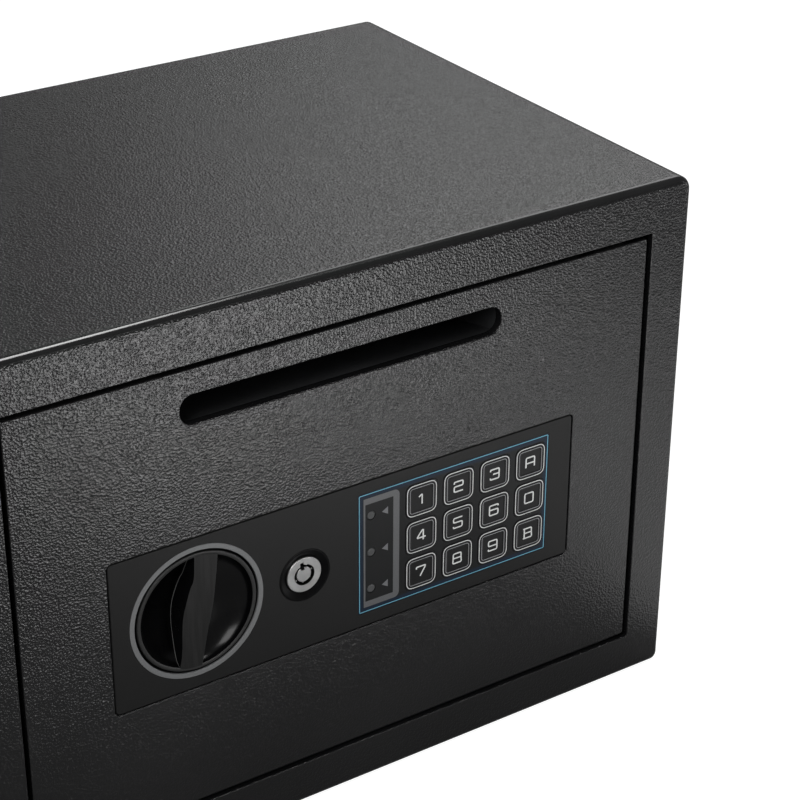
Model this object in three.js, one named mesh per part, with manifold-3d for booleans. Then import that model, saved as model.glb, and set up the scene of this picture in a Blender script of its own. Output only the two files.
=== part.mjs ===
// Drop safe: a steel cabinet whose door has a drop slot, a keypad panel, a turning knob and a key lock.
// Millimetres, +X to the right seen from the front, +Y from the front to the back, +Z up.
// The origin is the middle of the underside. Depths are measured back from the cabinet's front face.

import * as THREE from 'three';
import { mergeVertices } from 'three/addons/utils/BufferGeometryUtils.js';
import Module from 'manifold-3d';

const wasm = await Module();
wasm.setup();

// Driving dimensions of the cabinet

const cabinet = { width: 350, depth: 250, height: 252.5, sheet: 2, cornerRadius: 5 };
const frontFrame = { sheet: 3, border: 20.5, topBorder: 23, edgeRound: 3 };
const backPlate = { sheet: 2 };
const anchorHole = { radius: 6, spacing: 200, floorDepth: 150, backHeight: 125 };
const floorMat = { thickness: 3, edgeGap: 6, holeMargin: 2 };
const strike = { sheet: 2.5, depth: 12.5, width: 16, wallGap: 1, endGap: 20 };
const doorStop = { sheet: 2, reach: 4, foot: 9, gap: 0.5, hingeGap: 16 };

// Driving dimensions of the door and its hinge

const door = { thickness: 4, gap: 2.2, recess: 0.7, cornerRadius: 1.5 };
const hinge = { fromEdge: 18, behindDoor: 3.5, pinRadius: 3, pinGap: 0.3 };
const hingeLug = { sheet: 3, halfWidth: 11, reach: 9, leg: 13, edgeGap: 0.1, pinPast: 2 };
const hingeBlock = { halfWidth: 8, reach: 7, height: 28, edgeGap: 0.3 };
const slot = { width: 153, height: 13, offCentre: -1.75, belowDoorTop: 17.8, endRadius: 6 };
const chute = { sheet: 1.2, sideGap: 2, floorGap: 1.5, roofGap: 2.5, flange: 8, floorRun: 37.3, floorFall: 8.5 };
const hood = { flange: 4, roofRun: 49.3, baffleDrop: 35 };

// Driving dimensions of the control panel and what it carries

const panel = { width: 228.7, height: 71.6, fromDoorEdge: 38.95, belowSlot: 93.5, cornerRadius: 2.2, joint: 0.35 };
const panelShell = { setBack: 0.2, skin: 2.2, wall: 2 };
const pan = { depth: 12.3, sheet: 2, lap: 5.5, cableHole: 5, cableInset: 1.75, cableRise: 13.1 };
const knob = { inset: 39.05, raise: 0.8, radius: 27.7, rim: 1.8, bowl: 11, floor: 1.8, lean: 9 };
const grip = { endHalfWidth: 5.6, midHalfWidth: 6.8 };
const knobWell = { gap: 0.9, wall: 1.8, floor: 1.8 };
const knobRing = { innerRadius: 28.75, outerRadius: 30.9, depth: 0.9, proud: 0.1 };
const spindle = { radius: 4, square: 5.6, squareLength: 3.2, front: 5.4 };
const bush = { wall: 1.5, flangeRadius: 7.5, flange: 1.2 };
const lock = { fromKnob: 51, drop: 0.3, radius: 8.4, setBack: 0.3, length: 24 };
const keyway = { radius: 4.9, postRadius: 3.6, depth: 6.5, notchWidth: 1.7, notchDepth: 1.3, lean: 12 };
const lockPins = { count: 7, radius: 0.55, depth: 2.4 };
const bezel = { radius: 12.2, proud: 0.2, fall: 1.3, depth: 1.9 };
const lockNut = { radius: 12.5, thickness: 4 };
const overlay = { inset: 116.6, width: 99.65, drop: 29.1, height: 59.1, thickness: 0.8, cornerRadius: 0.6 };
const key = { size: 16.1, cornerRadius: 3.2, pitchX: 19.23, pitchZ: 18.2, rise: 0.25, gap: 0.25 };
const keyGrid = { inset: 32.15, rise: 11.3, length: 2.65 };
const led = { inset: 6.5, radius: 2, gap: 0.15, strip: 6, stripEnd: 4 };
const board = { thickness: 1.6, standoff: 1, postRadius: 1.9 };

// Driving dimensions of the bolt work

const bolt = { radius: 9, length: 38.5, tipInset: 1.8, throw: 16, depth: 25.5, low: 26.8, high: 13.2, chamfer: 1.2 };
const guide = { sheet: 3, fromBolt: 11.5, fromEdge: 15.8, footLength: 13, footSheet: 2.5, holeGap: 0.35 };
const carriage = { sheet: 3, barWidth: 32, flange: 8.5, flangeSheet: 3, armReach: 28, armBottom: 4.8, armTop: 20.2 };
const stud = { offsetZ: 20, inset: 8.6, radius: 3, headRadius: 5, head: 1.7, gap: 0.3 };
const cam = { pinRadius: 2.5, sheet: 3, hubRadius: 8, endRadius: 5.2, pinPast: 1, slotGap: 0.6, squareGap: 0.3 };

// Driving dimensions of the solenoid and the key lock's lifting bar

const solenoid = { fromArmEnd: 12, depth: 27.5, rise: 37.2, height: 22, foot: 11, sheet: 1.5, halfWidth: 10, reach: 7 };
const coil = { radius: 6.4, boreGap: 0.4 };
const plunger = { radius: 3, lift: 5, rest: 0.4, length: 30, toCollar: 4.9, collar: 1.4, collarRadius: 4.3 };
const spring = { coils: 6, wire: 0.35, radius: 4, gap: 0.3 };
const liftBar = { sheet: 2, width: 8, legWidth: 8, tabOverhang: 6, tabReach: 5, tabHeight: 2, past: 7, gap: 0.35 };
const lockCam = { radius: 6.5, sheet: 2, gap: 0.4, pinRadius: 2, pinLength: 3.6, tailRadius: 2.6 };

// Driving dimensions of the inner cover, the batteries and the reset button

const cover = { fromDoorEdge: 12.3, pastPan: 2.8, foot: 6.3, belowSlot: 18.5, depth: 33, sheet: 1.2, boltGap: 0.8 };
const coverEar = { length: 16, reach: 6.5 };
const screw = { radius: 1.7, headRadius: 2.8, head: 1.6 };
const cell = { radius: 7.25, length: 50.5, nubRadius: 2.7, nub: 1, pitch: 15.2, count: 4, wrap: 1 };
const tray = { inset: 66, wall: 1.5, endRoom: 2.3, sideRoom: 0.3 };
const hatch = { lap: 4, thickness: 1.8, plug: 1, windowInset: 2, gripWidth: 16, gripHeight: 4, gripDepth: 0.8 };
const reset = { inset: 19, radius: 4, proud: 2, flangeRadius: 5, flange: 1.5, travel: 1.2, gap: 0.4 };
const resetSwitch = { size: 12, depth: 7, post: 2, clearance: 1.7 };
const lead = { radius: 1.1, coilExit: 16, plug: 8, plugDepth: 5 };

// Shared clearances and the overrun that carries every cut through its wall

const fitGap = 0.3;
const overrun = 5;

// Steps of the round shapes

const roundSteps = { large: 48, middle: 32, small: 16, corner: 2, wire: 8 };

// Places worked out from the driving dimensions

const frontY = -cabinet.depth / 2;
const halfWidth = cabinet.width / 2;
const opening = {
  left: -halfWidth + frontFrame.border,
  right: halfWidth - frontFrame.border,
  bottom: frontFrame.border,
  top: cabinet.height - frontFrame.topBorder,
};
const doorEdge = {
  left: opening.left + door.gap,
  right: opening.right - door.gap,
  bottom: opening.bottom + door.gap,
  top: opening.top - door.gap,
};
const doorFace = door.recess;
const doorBack = doorFace + door.thickness;
const panelFace = doorFace + panelShell.setBack;
const skinBack = panelFace + panelShell.skin;
const panFloor = doorBack + pan.depth;
const panBack = panFloor + pan.sheet;
const hingeX = doorEdge.right - hinge.fromEdge;
const hingeY = doorBack + hinge.behindDoor;
const coverBack = doorBack + cover.depth;
const coverInner = coverBack - cover.sheet;

// The slot hangs from the door's top edge and the panel from the slot, and both keep to the latch side
const slotAt = { x: slot.offCentre, z: doorEdge.top - slot.belowDoorTop };
const panelLeft = doorEdge.left + panel.fromDoorEdge;
const panelAt = { x: panelLeft + panel.width / 2, z: slotAt.z - panel.belowSlot };
const knobAt = { x: panelLeft + knob.inset, z: panelAt.z + knob.raise };
const lockAt = { x: knobAt.x + lock.fromKnob, z: knobAt.z - lock.drop };
const overlayEdge = { left: panelLeft + overlay.inset, bottom: panelAt.z - overlay.drop };
const firstKey = { x: overlayEdge.left + keyGrid.inset, z: overlayEdge.bottom + keyGrid.rise };
const ledX = overlayEdge.left + led.inset;
const cableAt = { x: overlayEdge.left + pan.cableInset, z: overlayEdge.bottom + pan.cableRise };
const panEdge = {
  left: panelLeft - panel.joint - pan.lap,
  right: panelLeft + panel.width + panel.joint + pan.lap,
  bottom: panelAt.z - panel.height / 2 - panel.joint - pan.lap,
  top: panelAt.z + panel.height / 2 + panel.joint + pan.lap,
};
const coverEdge = {
  left: doorEdge.left + cover.fromDoorEdge,
  right: panEdge.right + cover.pastPan,
  bottom: doorEdge.bottom + cover.foot,
  top: slotAt.z - cover.belowSlot,
};
const trayAt = { x: coverEdge.right - tray.inset, z: panelAt.z };
const resetAt = { x: coverEdge.right - reset.inset, z: coverEdge.top - reset.inset };

// The crank pin of the knob swings 45 degrees to each side of upright, so its radius sets the bolts' throw
const crankTurn = 45;
const crankRadius = bolt.throw / Math.SQRT2;
const crankOffset = bolt.throw / 2;
// The lock's pin swings in the same way, turned on its side
const lifterOffset = plunger.lift / 2;

const carriageY = { front: bolt.depth - carriage.sheet / 2, back: bolt.depth + carriage.sheet / 2 };
const boltTip = doorEdge.left + bolt.tipInset;
const boltRoot = boltTip + bolt.length;
const barRight = boltRoot + carriage.barWidth;
const armRight = barRight + carriage.armReach;
const armTop = knobAt.z + carriage.armTop;
const boltHeights = [coverEdge.bottom + bolt.low, coverEdge.top - bolt.high];
const plungerX = armRight - solenoid.fromArmEnd;
const solenoidBottom = knobAt.z + solenoid.rise;
const plungerTip = armTop + plunger.rest;
const camBack = carriageY.front - fitGap;
const camFront = camBack - cam.sheet;

// Materials

function material(name, color, roughness, metalness) {
  return new THREE.MeshStandardMaterial({ name, color, roughness, metalness });
}

const paintedSteel = material('textured_black_paint', 0x2b2c2d, 0.5, 0.2);
const innerPaint = material('inner_paint', 0x3a3b3c, 0.6, 0.2);
const panelPlastic = material('panel_plastic', 0x1f2022, 0.45, 0);
const glossPlastic = material('gloss_black_plastic', 0x101112, 0.15, 0);
const ringGrey = material('grey_ring', 0x77797b, 0.5, 0.1);
const brightSteel = material('bright_steel', 0xb9bbbd, 0.3, 1);
const zincSteel = material('zinc_steel', 0x9fa3a6, 0.4, 0.9);
const brass = material('brass', 0xb08d4a, 0.35, 0.9);
const overlayFilm = material('overlay_film', 0x17222c, 0.4, 0);
const keyRubber = material('key_film', 0x24262a, 0.45, 0);
const lensGrey = material('led_lens', 0x55585a, 0.3, 0);
const boardGreen = material('circuit_board', 0x1d5a36, 0.5, 0);
const coilTape = material('coil_tape', 0xa9781f, 0.5, 0);
const trayPlastic = material('tray_plastic', 0x161718, 0.5, 0);
const cellWrap = material('cell_wrap', 0x2f6d55, 0.35, 0.1);
const matFelt = material('mat_felt', 0x3f4246, 0.95, 0);
const resetRed = material('reset_red', 0xb3261e, 0.4, 0);
const leadRed = material('lead_red', 0x8e1f1a, 0.5, 0);

// Solids from three.js shapes, joined and cut

function solid(geometry) {
  const bare = geometry.index ? geometry.toNonIndexed() : geometry.clone();
  bare.deleteAttribute('normal');
  bare.deleteAttribute('uv');
  const merged = mergeVertices(bare);
  const corners = merged.index.array;
  const kept = [];
  for (let i = 0; i < corners.length; i += 3) {
    const [a, b, c] = corners.slice(i, i + 3);
    if (a !== b && b !== c && c !== a) kept.push(a, b, c);
  }
  const vertProperties = new Float32Array(merged.attributes.position.array);
  return new wasm.Manifold(new wasm.Mesh({ numProp: 3, vertProperties, triVerts: new Uint32Array(kept) }));
}

function join(...parts) {
  return parts.reduce((whole, part) => whole.add(part));
}

function cut(body, ...tools) {
  return tools.reduce((whole, tool) => whole.subtract(tool), body);
}

function mesh(name, body, look) {
  const { vertProperties, triVerts } = body.getMesh();
  const geometry = new THREE.BufferGeometry();
  geometry.setAttribute('position', new THREE.BufferAttribute(new Float32Array(vertProperties), 3));
  geometry.setIndex(new THREE.BufferAttribute(new Uint32Array(triVerts), 1));
  geometry.computeVertexNormals();
  const part = new THREE.Mesh(geometry, look);
  part.name = name;
  return part;
}

function block(x0, x1, y0, y1, z0, z1) {
  const box = new THREE.BoxGeometry(x1 - x0, y1 - y0, z1 - z0);
  return solid(box.translate((x0 + x1) / 2, (y0 + y1) / 2, (z0 + z1) / 2));
}

function rodX(x0, x1, y, z, radius, steps = roundSteps.middle) {
  const rod = new THREE.CylinderGeometry(radius, radius, x1 - x0, steps).rotateZ(Math.PI / 2);
  return solid(rod.translate((x0 + x1) / 2, y, z));
}

function rodY(y0, y1, x, z, radius, steps = roundSteps.middle) {
  const rod = new THREE.CylinderGeometry(radius, radius, y1 - y0, steps);
  return solid(rod.translate(x, (y0 + y1) / 2, z));
}

function rodZ(z0, z1, x, y, radius, steps = roundSteps.middle) {
  const rod = new THREE.CylinderGeometry(radius, radius, z1 - z0, steps).rotateX(Math.PI / 2);
  return solid(rod.translate(x, y, (z0 + z1) / 2));
}

// A closed ring or a solid turned about a line along Y, from [radius, depth] pairs
function turned(profile, steps = roundSteps.large) {
  const points = profile.map(([radius, depth]) => new THREE.Vector2(radius, depth));
  return solid(new THREE.LatheGeometry(points, steps));
}

// A rectangle with round corners, centred at (x, z)
function roundedRect(width, height, radius, x = 0, z = 0) {
  const left = x - width / 2;
  const right = x + width / 2;
  const bottom = z - height / 2;
  const top = z + height / 2;
  const quarter = Math.PI / 2;
  const shape = new THREE.Shape();
  shape.moveTo(left + radius, bottom);
  shape.lineTo(right - radius, bottom);
  shape.absarc(right - radius, bottom + radius, radius, -quarter, 0);
  shape.lineTo(right, top - radius);
  shape.absarc(right - radius, top - radius, radius, 0, quarter);
  shape.lineTo(left + radius, top);
  shape.absarc(left + radius, top - radius, radius, quarter, 2 * quarter);
  shape.lineTo(left, bottom + radius);
  shape.absarc(left + radius, bottom + radius, radius, 2 * quarter, 3 * quarter);
  shape.closePath();
  return shape;
}

function polygon(points) {
  return new THREE.Shape(points.map(([u, v]) => new THREE.Vector2(u, v)));
}

// A shape drawn in X and Z, given its thickness along Y
function plateXZ(shape, y0, y1, corner = roundSteps.corner) {
  const plate = new THREE.ExtrudeGeometry(shape, { depth: y1 - y0, bevelEnabled: false, curveSegments: corner });
  return solid(plate.rotateX(Math.PI / 2).translate(0, y1, 0));
}

// A shape drawn in Y and Z, given its thickness along X
function plateYZ(shape, x0, x1) {
  const plate = new THREE.ExtrudeGeometry(shape, { depth: x1 - x0, bevelEnabled: false });
  const turn = new THREE.Matrix4().makeBasis(
    new THREE.Vector3(0, 1, 0),
    new THREE.Vector3(0, 0, 1),
    new THREE.Vector3(1, 0, 0),
  );
  return solid(plate.applyMatrix4(turn).translate(x0, 0, 0));
}

// A round wire or lead along a curve, with flat ends
function wire(curve, radius, steps, sides) {
  const section = new THREE.Shape();
  section.absarc(0, 0, radius, 0, 2 * Math.PI);
  const points = section.getSpacedPoints(sides);
  const outline = new THREE.Shape(points.slice(0, sides));
  return solid(new THREE.ExtrudeGeometry(outline, { steps, extrudePath: curve, bevelEnabled: false }));
}

// The cabinet: a bent sheet tube, a back plate and a pressed front frame

function anchorPlaces() {
  return [-anchorHole.spacing / 2, anchorHole.spacing / 2];
}

function cabinetShell() {
  const { width, height, depth, sheet, cornerRadius } = cabinet;
  const middleZ = height / 2;
  const tubeBack = depth - backPlate.sheet;
  const outside = roundedRect(width, height, cornerRadius, 0, middleZ);
  const inside = roundedRect(width - 2 * sheet, height - 2 * sheet, cornerRadius - sheet, 0, middleZ);
  outside.holes.push(inside);
  const tube = plateXZ(outside, frontFrame.sheet, tubeBack);
  const holes = anchorPlaces().map((x) => (
    rodZ(-overrun, overrun, x, anchorHole.floorDepth, anchorHole.radius)
  ));
  return mesh('cabinet_shell', cut(tube, ...holes), paintedSteel);
}

function cabinetBack() {
  const outline = roundedRect(cabinet.width, cabinet.height, cabinet.cornerRadius, 0, cabinet.height / 2);
  const inner = cabinet.depth - backPlate.sheet;
  const plate = plateXZ(outline, inner, cabinet.depth);
  const holes = anchorPlaces().map((x) => (
    rodY(inner - overrun, cabinet.depth + overrun, x, anchorHole.backHeight, anchorHole.radius)
  ));
  return mesh('back_plate', cut(plate, ...holes), paintedSteel);
}

function cabinetFront() {
  const round = frontFrame.edgeRound;
  const width = cabinet.width - 2 * round;
  const height = cabinet.height - 2 * round;
  const outline = roundedRect(width, height, cabinet.cornerRadius - round, 0, cabinet.height / 2);
  const pressed = new THREE.ExtrudeGeometry(outline, {
    depth: frontFrame.sheet,
    bevelThickness: round,
    bevelSize: round,
    bevelSegments: 4,
    curveSegments: roundSteps.corner,
  });
  const body = solid(pressed.rotateX(Math.PI / 2).translate(0, frontFrame.sheet + round, 0));
  const keepFront = block(-cabinet.width, cabinet.width, -overrun, frontFrame.sheet, -overrun, 2 * cabinet.height);
  const doorway = block(
    opening.left, opening.right, -overrun, frontFrame.sheet + overrun, opening.bottom, opening.top,
  );
  return mesh('front_frame', cut(body.intersect(keepFront), doorway), paintedSteel);
}

// A U channel behind the left border, which the bolts catch behind, welded to two angles behind the top
// and bottom borders, which stop the door flush with the frame
function doorStopFrame() {
  const left = -halfWidth + cabinet.sheet + strike.wallGap;
  const right = left + strike.width;
  const front = frontFrame.sheet;
  const back = front + strike.depth;
  const bottom = strike.endGap;
  const top = cabinet.height - strike.endGap;
  const bar = block(left, right, front, back, bottom, top);
  const hollow = block(
    left + strike.sheet, right - strike.sheet, front - overrun, back - strike.sheet, bottom - overrun, top + overrun,
  );
  const start = right - strike.sheet;
  const end = hingeX - doorStop.hingeGap;
  const lipFront = doorBack + doorStop.gap;
  const lipBack = lipFront + doorStop.sheet;
  const low = opening.bottom - doorStop.foot;
  const high = opening.top + doorStop.foot;
  const lower = join(
    block(start, end, lipFront, lipBack, low, opening.bottom + doorStop.reach),
    block(start, end, front, lipBack, low, low + doorStop.sheet),
  );
  const upper = join(
    block(start, end, lipFront, lipBack, opening.top - doorStop.reach, high),
    block(start, end, front, lipBack, high - doorStop.sheet, high),
  );
  return mesh('door_stop_frame', join(cut(bar, hollow), lower, upper), innerPaint);
}

function mat() {
  const inset = cabinet.sheet + floorMat.edgeGap;
  const low = cabinet.sheet;
  const high = low + floorMat.thickness;
  const sheet = block(
    -halfWidth + inset, halfWidth - inset, frontFrame.sheet + inset,
    cabinet.depth - backPlate.sheet - floorMat.edgeGap, low, high,
  );
  const radius = anchorHole.radius + floorMat.holeMargin;
  const holes = anchorPlaces().map((x) => (
    rodZ(low - overrun, high + overrun, x, anchorHole.floorDepth, radius)
  ));
  return mesh('floor_mat', cut(sheet, ...holes), matFelt);
}

// The hinge: two lugs on the frame carry a rod that runs through the two blocks on the door

const lugTop = opening.top + hingeLug.edgeGap;
const lugBottom = opening.bottom - hingeLug.edgeGap;
const blockTop = opening.top - hingeBlock.edgeGap;
const blockBottom = opening.bottom + hingeBlock.edgeGap;

function hingeBore() {
  return rodZ(-overrun, cabinet.height + overrun, hingeX, hingeY, hinge.pinRadius + hinge.pinGap);
}

// A lug's plate lies across the rod, and its leg stands against the frame, upwards or downwards
function lug(name, plateLow, legLow) {
  const left = hingeX - hingeLug.halfWidth;
  const right = hingeX + hingeLug.halfWidth;
  const front = frontFrame.sheet;
  const body = join(
    block(left, right, front, hingeY + hingeLug.reach, plateLow, plateLow + hingeLug.sheet),
    block(left, right, front, front + hingeLug.sheet, legLow, legLow + hingeLug.leg),
  );
  return mesh(name, cut(body, hingeBore()), innerPaint);
}

function hingeBlockAt(name, low) {
  const body = block(
    hingeX - hingeBlock.halfWidth, hingeX + hingeBlock.halfWidth, doorBack, hingeY + hingeBlock.reach,
    low, low + hingeBlock.height,
  );
  return mesh(name, cut(body, hingeBore()), innerPaint);
}

function hingeRod() {
  const past = hingeLug.sheet + hingeLug.pinPast;
  return mesh('hinge_rod', rodZ(lugBottom - past, lugTop + past, hingeX, hingeY, hinge.pinRadius), zincSteel);
}

// The door plate with its slot and the window for the control panel

function doorPlate() {
  const width = doorEdge.right - doorEdge.left;
  const height = doorEdge.top - doorEdge.bottom;
  const middleZ = (doorEdge.top + doorEdge.bottom) / 2;
  const plate = plateXZ(roundedRect(width, height, door.cornerRadius, 0, middleZ), doorFace, doorBack);
  const slotCut = plateXZ(
    roundedRect(slot.width, slot.height, slot.endRadius, slotAt.x, slotAt.z),
    doorFace - overrun, doorBack + overrun, 2 * roundSteps.corner,
  );
  const window = plateXZ(panelOutline(panel.joint), doorFace - overrun, doorBack + overrun);
  return mesh('door_plate', cut(plate, slotCut, window), paintedSteel);
}

function panelOutline(grow) {
  return roundedRect(
    panel.width + 2 * grow, panel.height + 2 * grow, panel.cornerRadius + grow, panelAt.x, panelAt.z,
  );
}

// The chute behind the slot: a falling floor with cheeks, under a hood whose end hangs down as a baffle

const chuteLeft = slotAt.x - slot.width / 2 - chute.sideGap - chute.sheet;
const chuteRight = slotAt.x + slot.width / 2 + chute.sideGap + chute.sheet;
const chuteFloor = slotAt.z - slot.height / 2 - chute.floorGap;
const chuteRoof = slotAt.z + slot.height / 2 + chute.roofGap;

function slotChute() {
  const { sheet, flange, floorRun, floorFall } = chute;
  const end = doorBack + floorRun;
  const floor = plateYZ(polygon([
    [doorBack, chuteFloor],
    [doorBack, chuteFloor - flange],
    [doorBack + sheet, chuteFloor - flange],
    [doorBack + sheet, chuteFloor - sheet],
    [end, chuteFloor - floorFall - sheet],
    [end, chuteFloor - floorFall],
  ]), chuteLeft, chuteRight);
  const side = polygon([
    [doorBack, chuteFloor - sheet],
    [end, chuteFloor - floorFall - sheet],
    [end, chuteRoof],
    [doorBack, chuteRoof],
  ]);
  const cheeks = join(
    plateYZ(side, chuteLeft, chuteLeft + sheet),
    plateYZ(side, chuteRight - sheet, chuteRight),
  );
  return mesh('slot_chute', join(floor, cheeks), innerPaint);
}

function chuteHood() {
  const { sheet } = chute;
  const end = doorBack + hood.roofRun;
  const roofTop = chuteRoof + sheet;
  const folded = plateYZ(polygon([
    [doorBack, chuteRoof],
    [end - sheet, chuteRoof],
    [end - sheet, roofTop - hood.baffleDrop],
    [end, roofTop - hood.baffleDrop],
    [end, roofTop],
    [doorBack + sheet, roofTop],
    [doorBack + sheet, roofTop + hood.flange],
    [doorBack, roofTop + hood.flange],
  ]), chuteLeft, chuteRight);
  return mesh('chute_hood', folded, innerPaint);
}

// The steel pan welded behind the window, which backs the control panel

function backingPan() {
  const tub = block(panEdge.left, panEdge.right, doorBack, panBack, panEdge.bottom, panEdge.top);
  const hollow = block(
    panEdge.left + pan.sheet, panEdge.right - pan.sheet, doorBack - overrun, panFloor,
    panEdge.bottom + pan.sheet, panEdge.top - pan.sheet,
  );
  const through = [panFloor - overrun, panBack + overrun];
  const spindleHole = rodY(...through, knobAt.x, knobAt.z, spindle.radius + bush.wall + 2 * fitGap);
  const lockHole = rodY(...through, lockAt.x, lockAt.z, lock.radius + fitGap);
  const cableHole = rodY(...through, cableAt.x, cableAt.z, pan.cableHole);
  return mesh('backing_pan', cut(tub, hollow, spindleHole, lockHole, cableHole), innerPaint);
}

// The moulded control panel, hollow behind, with a well for the knob and a boss for the lock

const overlayCentreX = overlayEdge.left + overlay.width / 2;
const overlayCentreZ = overlayEdge.bottom + overlay.height / 2;
const wellRadius = knob.radius + knobWell.gap;
const wellBack = panFloor - fitGap;

function keyPlaces() {
  const names = [
    ['key_7', 'key_8', 'key_9', 'key_b'],
    ['key_4', 'key_5', 'key_6', 'key_0'],
    ['key_1', 'key_2', 'key_3', 'key_a'],
  ];
  const places = [];
  names.forEach((row, up) => row.forEach((name, along) => {
    places.push({ name, x: firstKey.x + along * key.pitchX, z: firstKey.z + up * key.pitchZ });
  }));
  return places;
}

function ledHeights() {
  return [0, 1, 2].map((row) => firstKey.z + row * key.pitchZ);
}

// The board's posts stand where the ribs between the keys cross
function boardPosts() {
  const left = firstKey.x + key.pitchX / 2;
  const right = left + 2 * key.pitchX;
  const low = firstKey.z + key.pitchZ / 2;
  const high = low + key.pitchZ;
  return [[left, low], [right, low], [left, high], [right, high]];
}

function controlPanel() {
  const { skin, wall } = panelShell;
  const inner = roundedRect(
    panel.width - 2 * wall, panel.height - 2 * wall, panel.cornerRadius, panelAt.x, panelAt.z,
  );
  const shell = cut(
    plateXZ(panelOutline(0), panelFace, wellBack),
    plateXZ(inner, panelFace + skin, wellBack + overrun),
  );
  const well = rodY(
    panelFace, wellBack, knobAt.x, knobAt.z, wellRadius + knobWell.wall, roundSteps.large,
  );
  const lockBoss = rodY(panelFace, wellBack, lockAt.x, lockAt.z, bezel.radius + wall);
  const posts = boardPosts().map(([x, z]) => (
    rodY(panelFace, skinBack + board.standoff, x, z, board.postRadius, roundSteps.small)
  ));
  const front = panelFace - overrun;
  const wellHole = rodY(
    front, wellBack - knobWell.floor, knobAt.x, knobAt.z, wellRadius, roundSteps.large,
  );
  const bushRoom = rodY(front, wellBack + overrun, knobAt.x, knobAt.z, spindle.radius + fitGap);
  const ringOuter = knobRing.outerRadius + fitGap / 2;
  const groove = rodY(
    front, panelFace + knobRing.depth, knobAt.x, knobAt.z, ringOuter, roundSteps.large,
  );
  const lockBore = rodY(front, wellBack + overrun, lockAt.x, lockAt.z, lock.radius + fitGap);
  const bezelSeat = rodY(front, panelFace + bezel.depth, lockAt.x, lockAt.z, bezel.radius + fitGap / 2);
  const overlaySeat = plateXZ(
    roundedRect(
      overlay.width + fitGap, overlay.height + fitGap, overlay.cornerRadius, overlayCentreX, overlayCentreZ,
    ),
    front, panelFace + overlay.thickness,
  );
  const keyHoles = keyPlaces().map(({ x, z }) => keySlab(x, z, key.gap, front, skinBack + overrun));
  const ledHoles = ledHeights().map((z) => (
    rodY(front, skinBack + overrun, ledX, z, led.radius + led.gap, roundSteps.small)
  ));
  const body = join(shell, well, lockBoss, ...posts);
  return mesh('control_panel', cut(
    body, wellHole, bushRoom, groove, lockBore, bezelSeat, overlaySeat, ...keyHoles, ...ledHoles,
  ), panelPlastic);
}

function knobRingTrim() {
  const front = panelFace - knobRing.proud;
  const back = panelFace + knobRing.depth;
  const ring = turned([
    [knobRing.innerRadius, front],
    [knobRing.outerRadius, front],
    [knobRing.outerRadius, back],
    [knobRing.innerRadius, back],
    [knobRing.innerRadius, front],
  ]);
  return mesh('knob_ring', ring.translate(knobAt.x, 0, knobAt.z), ringGrey);
}

// The keypad: a printed film with a window for each key, the keys, the lamps' lenses and the board

function keySlab(x, z, grow, y0, y1) {
  const size = key.size + 2 * grow;
  return plateXZ(roundedRect(size, size, key.cornerRadius + grow, x, z), y0, y1);
}

function keypadOverlay() {
  const outline = roundedRect(
    overlay.width, overlay.height, overlay.cornerRadius, overlayCentreX, overlayCentreZ,
  );
  const film = plateXZ(outline, panelFace, panelFace + overlay.thickness);
  const front = panelFace - overrun;
  const back = panelFace + overrun;
  const keyHoles = keyPlaces().map(({ x, z }) => keySlab(x, z, key.gap, front, back));
  const ledHoles = ledHeights().map((z) => rodY(front, back, ledX, z, led.radius + led.gap, roundSteps.small));
  return mesh('keypad_overlay', cut(film, ...keyHoles, ...ledHoles), overlayFilm);
}

function keyCap(name) {
  return mesh(name, keySlab(0, 0, 0, -key.rise, keyGrid.length - key.rise), keyRubber);
}

const boardFront = skinBack + board.standoff;

// Three lenses moulded on one strip behind the panel's skin
function statusLenses() {
  const heights = ledHeights();
  const lenses = heights.map((z) => rodY(panelFace, boardFront, ledX, z, led.radius, roundSteps.small));
  const strip = block(
    ledX - led.strip / 2, ledX + led.strip / 2, skinBack, boardFront,
    heights[0] - led.stripEnd, heights[2] + led.stripEnd,
  );
  return mesh('status_lenses', join(strip, ...lenses), lensGrey);
}

function keypadBoard() {
  const plate = block(
    overlayEdge.left + fitGap, overlayEdge.left + overlay.width - fitGap, boardFront, boardFront + board.thickness,
    overlayEdge.bottom + fitGap, overlayEdge.bottom + overlay.height - fitGap,
  );
  return mesh('keypad_board', plate, boardGreen);
}

// The key lock: a black bezel, the round lock body with its nut, and the plug that the key turns

const lockFront = panelFace + lock.setBack;
const lockBack = lockFront + lock.length;

function lockBezel() {
  const inner = lock.radius + fitGap;
  const front = panelFace - bezel.proud;
  const ring = turned([
    [inner, front + bezel.fall],
    [bezel.radius, front],
    [bezel.radius, panelFace + bezel.depth],
    [inner, panelFace + bezel.depth],
    [inner, front + bezel.fall],
  ]);
  return mesh('lock_bezel', ring.translate(lockAt.x, 0, lockAt.z), glossPlastic);
}

function keywayNotch(inner, outer, y0, y1) {
  const half = keyway.notchWidth / 2;
  const notch = block(-half, half, y0, y1, inner, outer);
  return notch.rotate([0, -keyway.lean, 0]);
}

function lockHousing() {
  const body = rodY(lockFront, lockBack, 0, 0, lock.radius);
  const bore = rodY(lockFront - overrun, lockBack + overrun, 0, 0, keyway.radius);
  const notch = keywayNotch(
    keyway.postRadius, keyway.radius + keyway.notchDepth, lockFront - overrun, lockFront + keyway.depth,
  );
  return mesh('lock_housing', cut(body, bore, notch), brightSteel);
}

function nut() {
  const back = panBack + lockNut.thickness;
  const hex = rodY(panBack, back, lockAt.x, lockAt.z, lockNut.radius, 6);
  const bore = rodY(panBack - overrun, back + overrun, lockAt.x, lockAt.z, lock.radius + fitGap);
  return mesh('lock_nut', cut(hex, bore), zincSteel);
}

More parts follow.
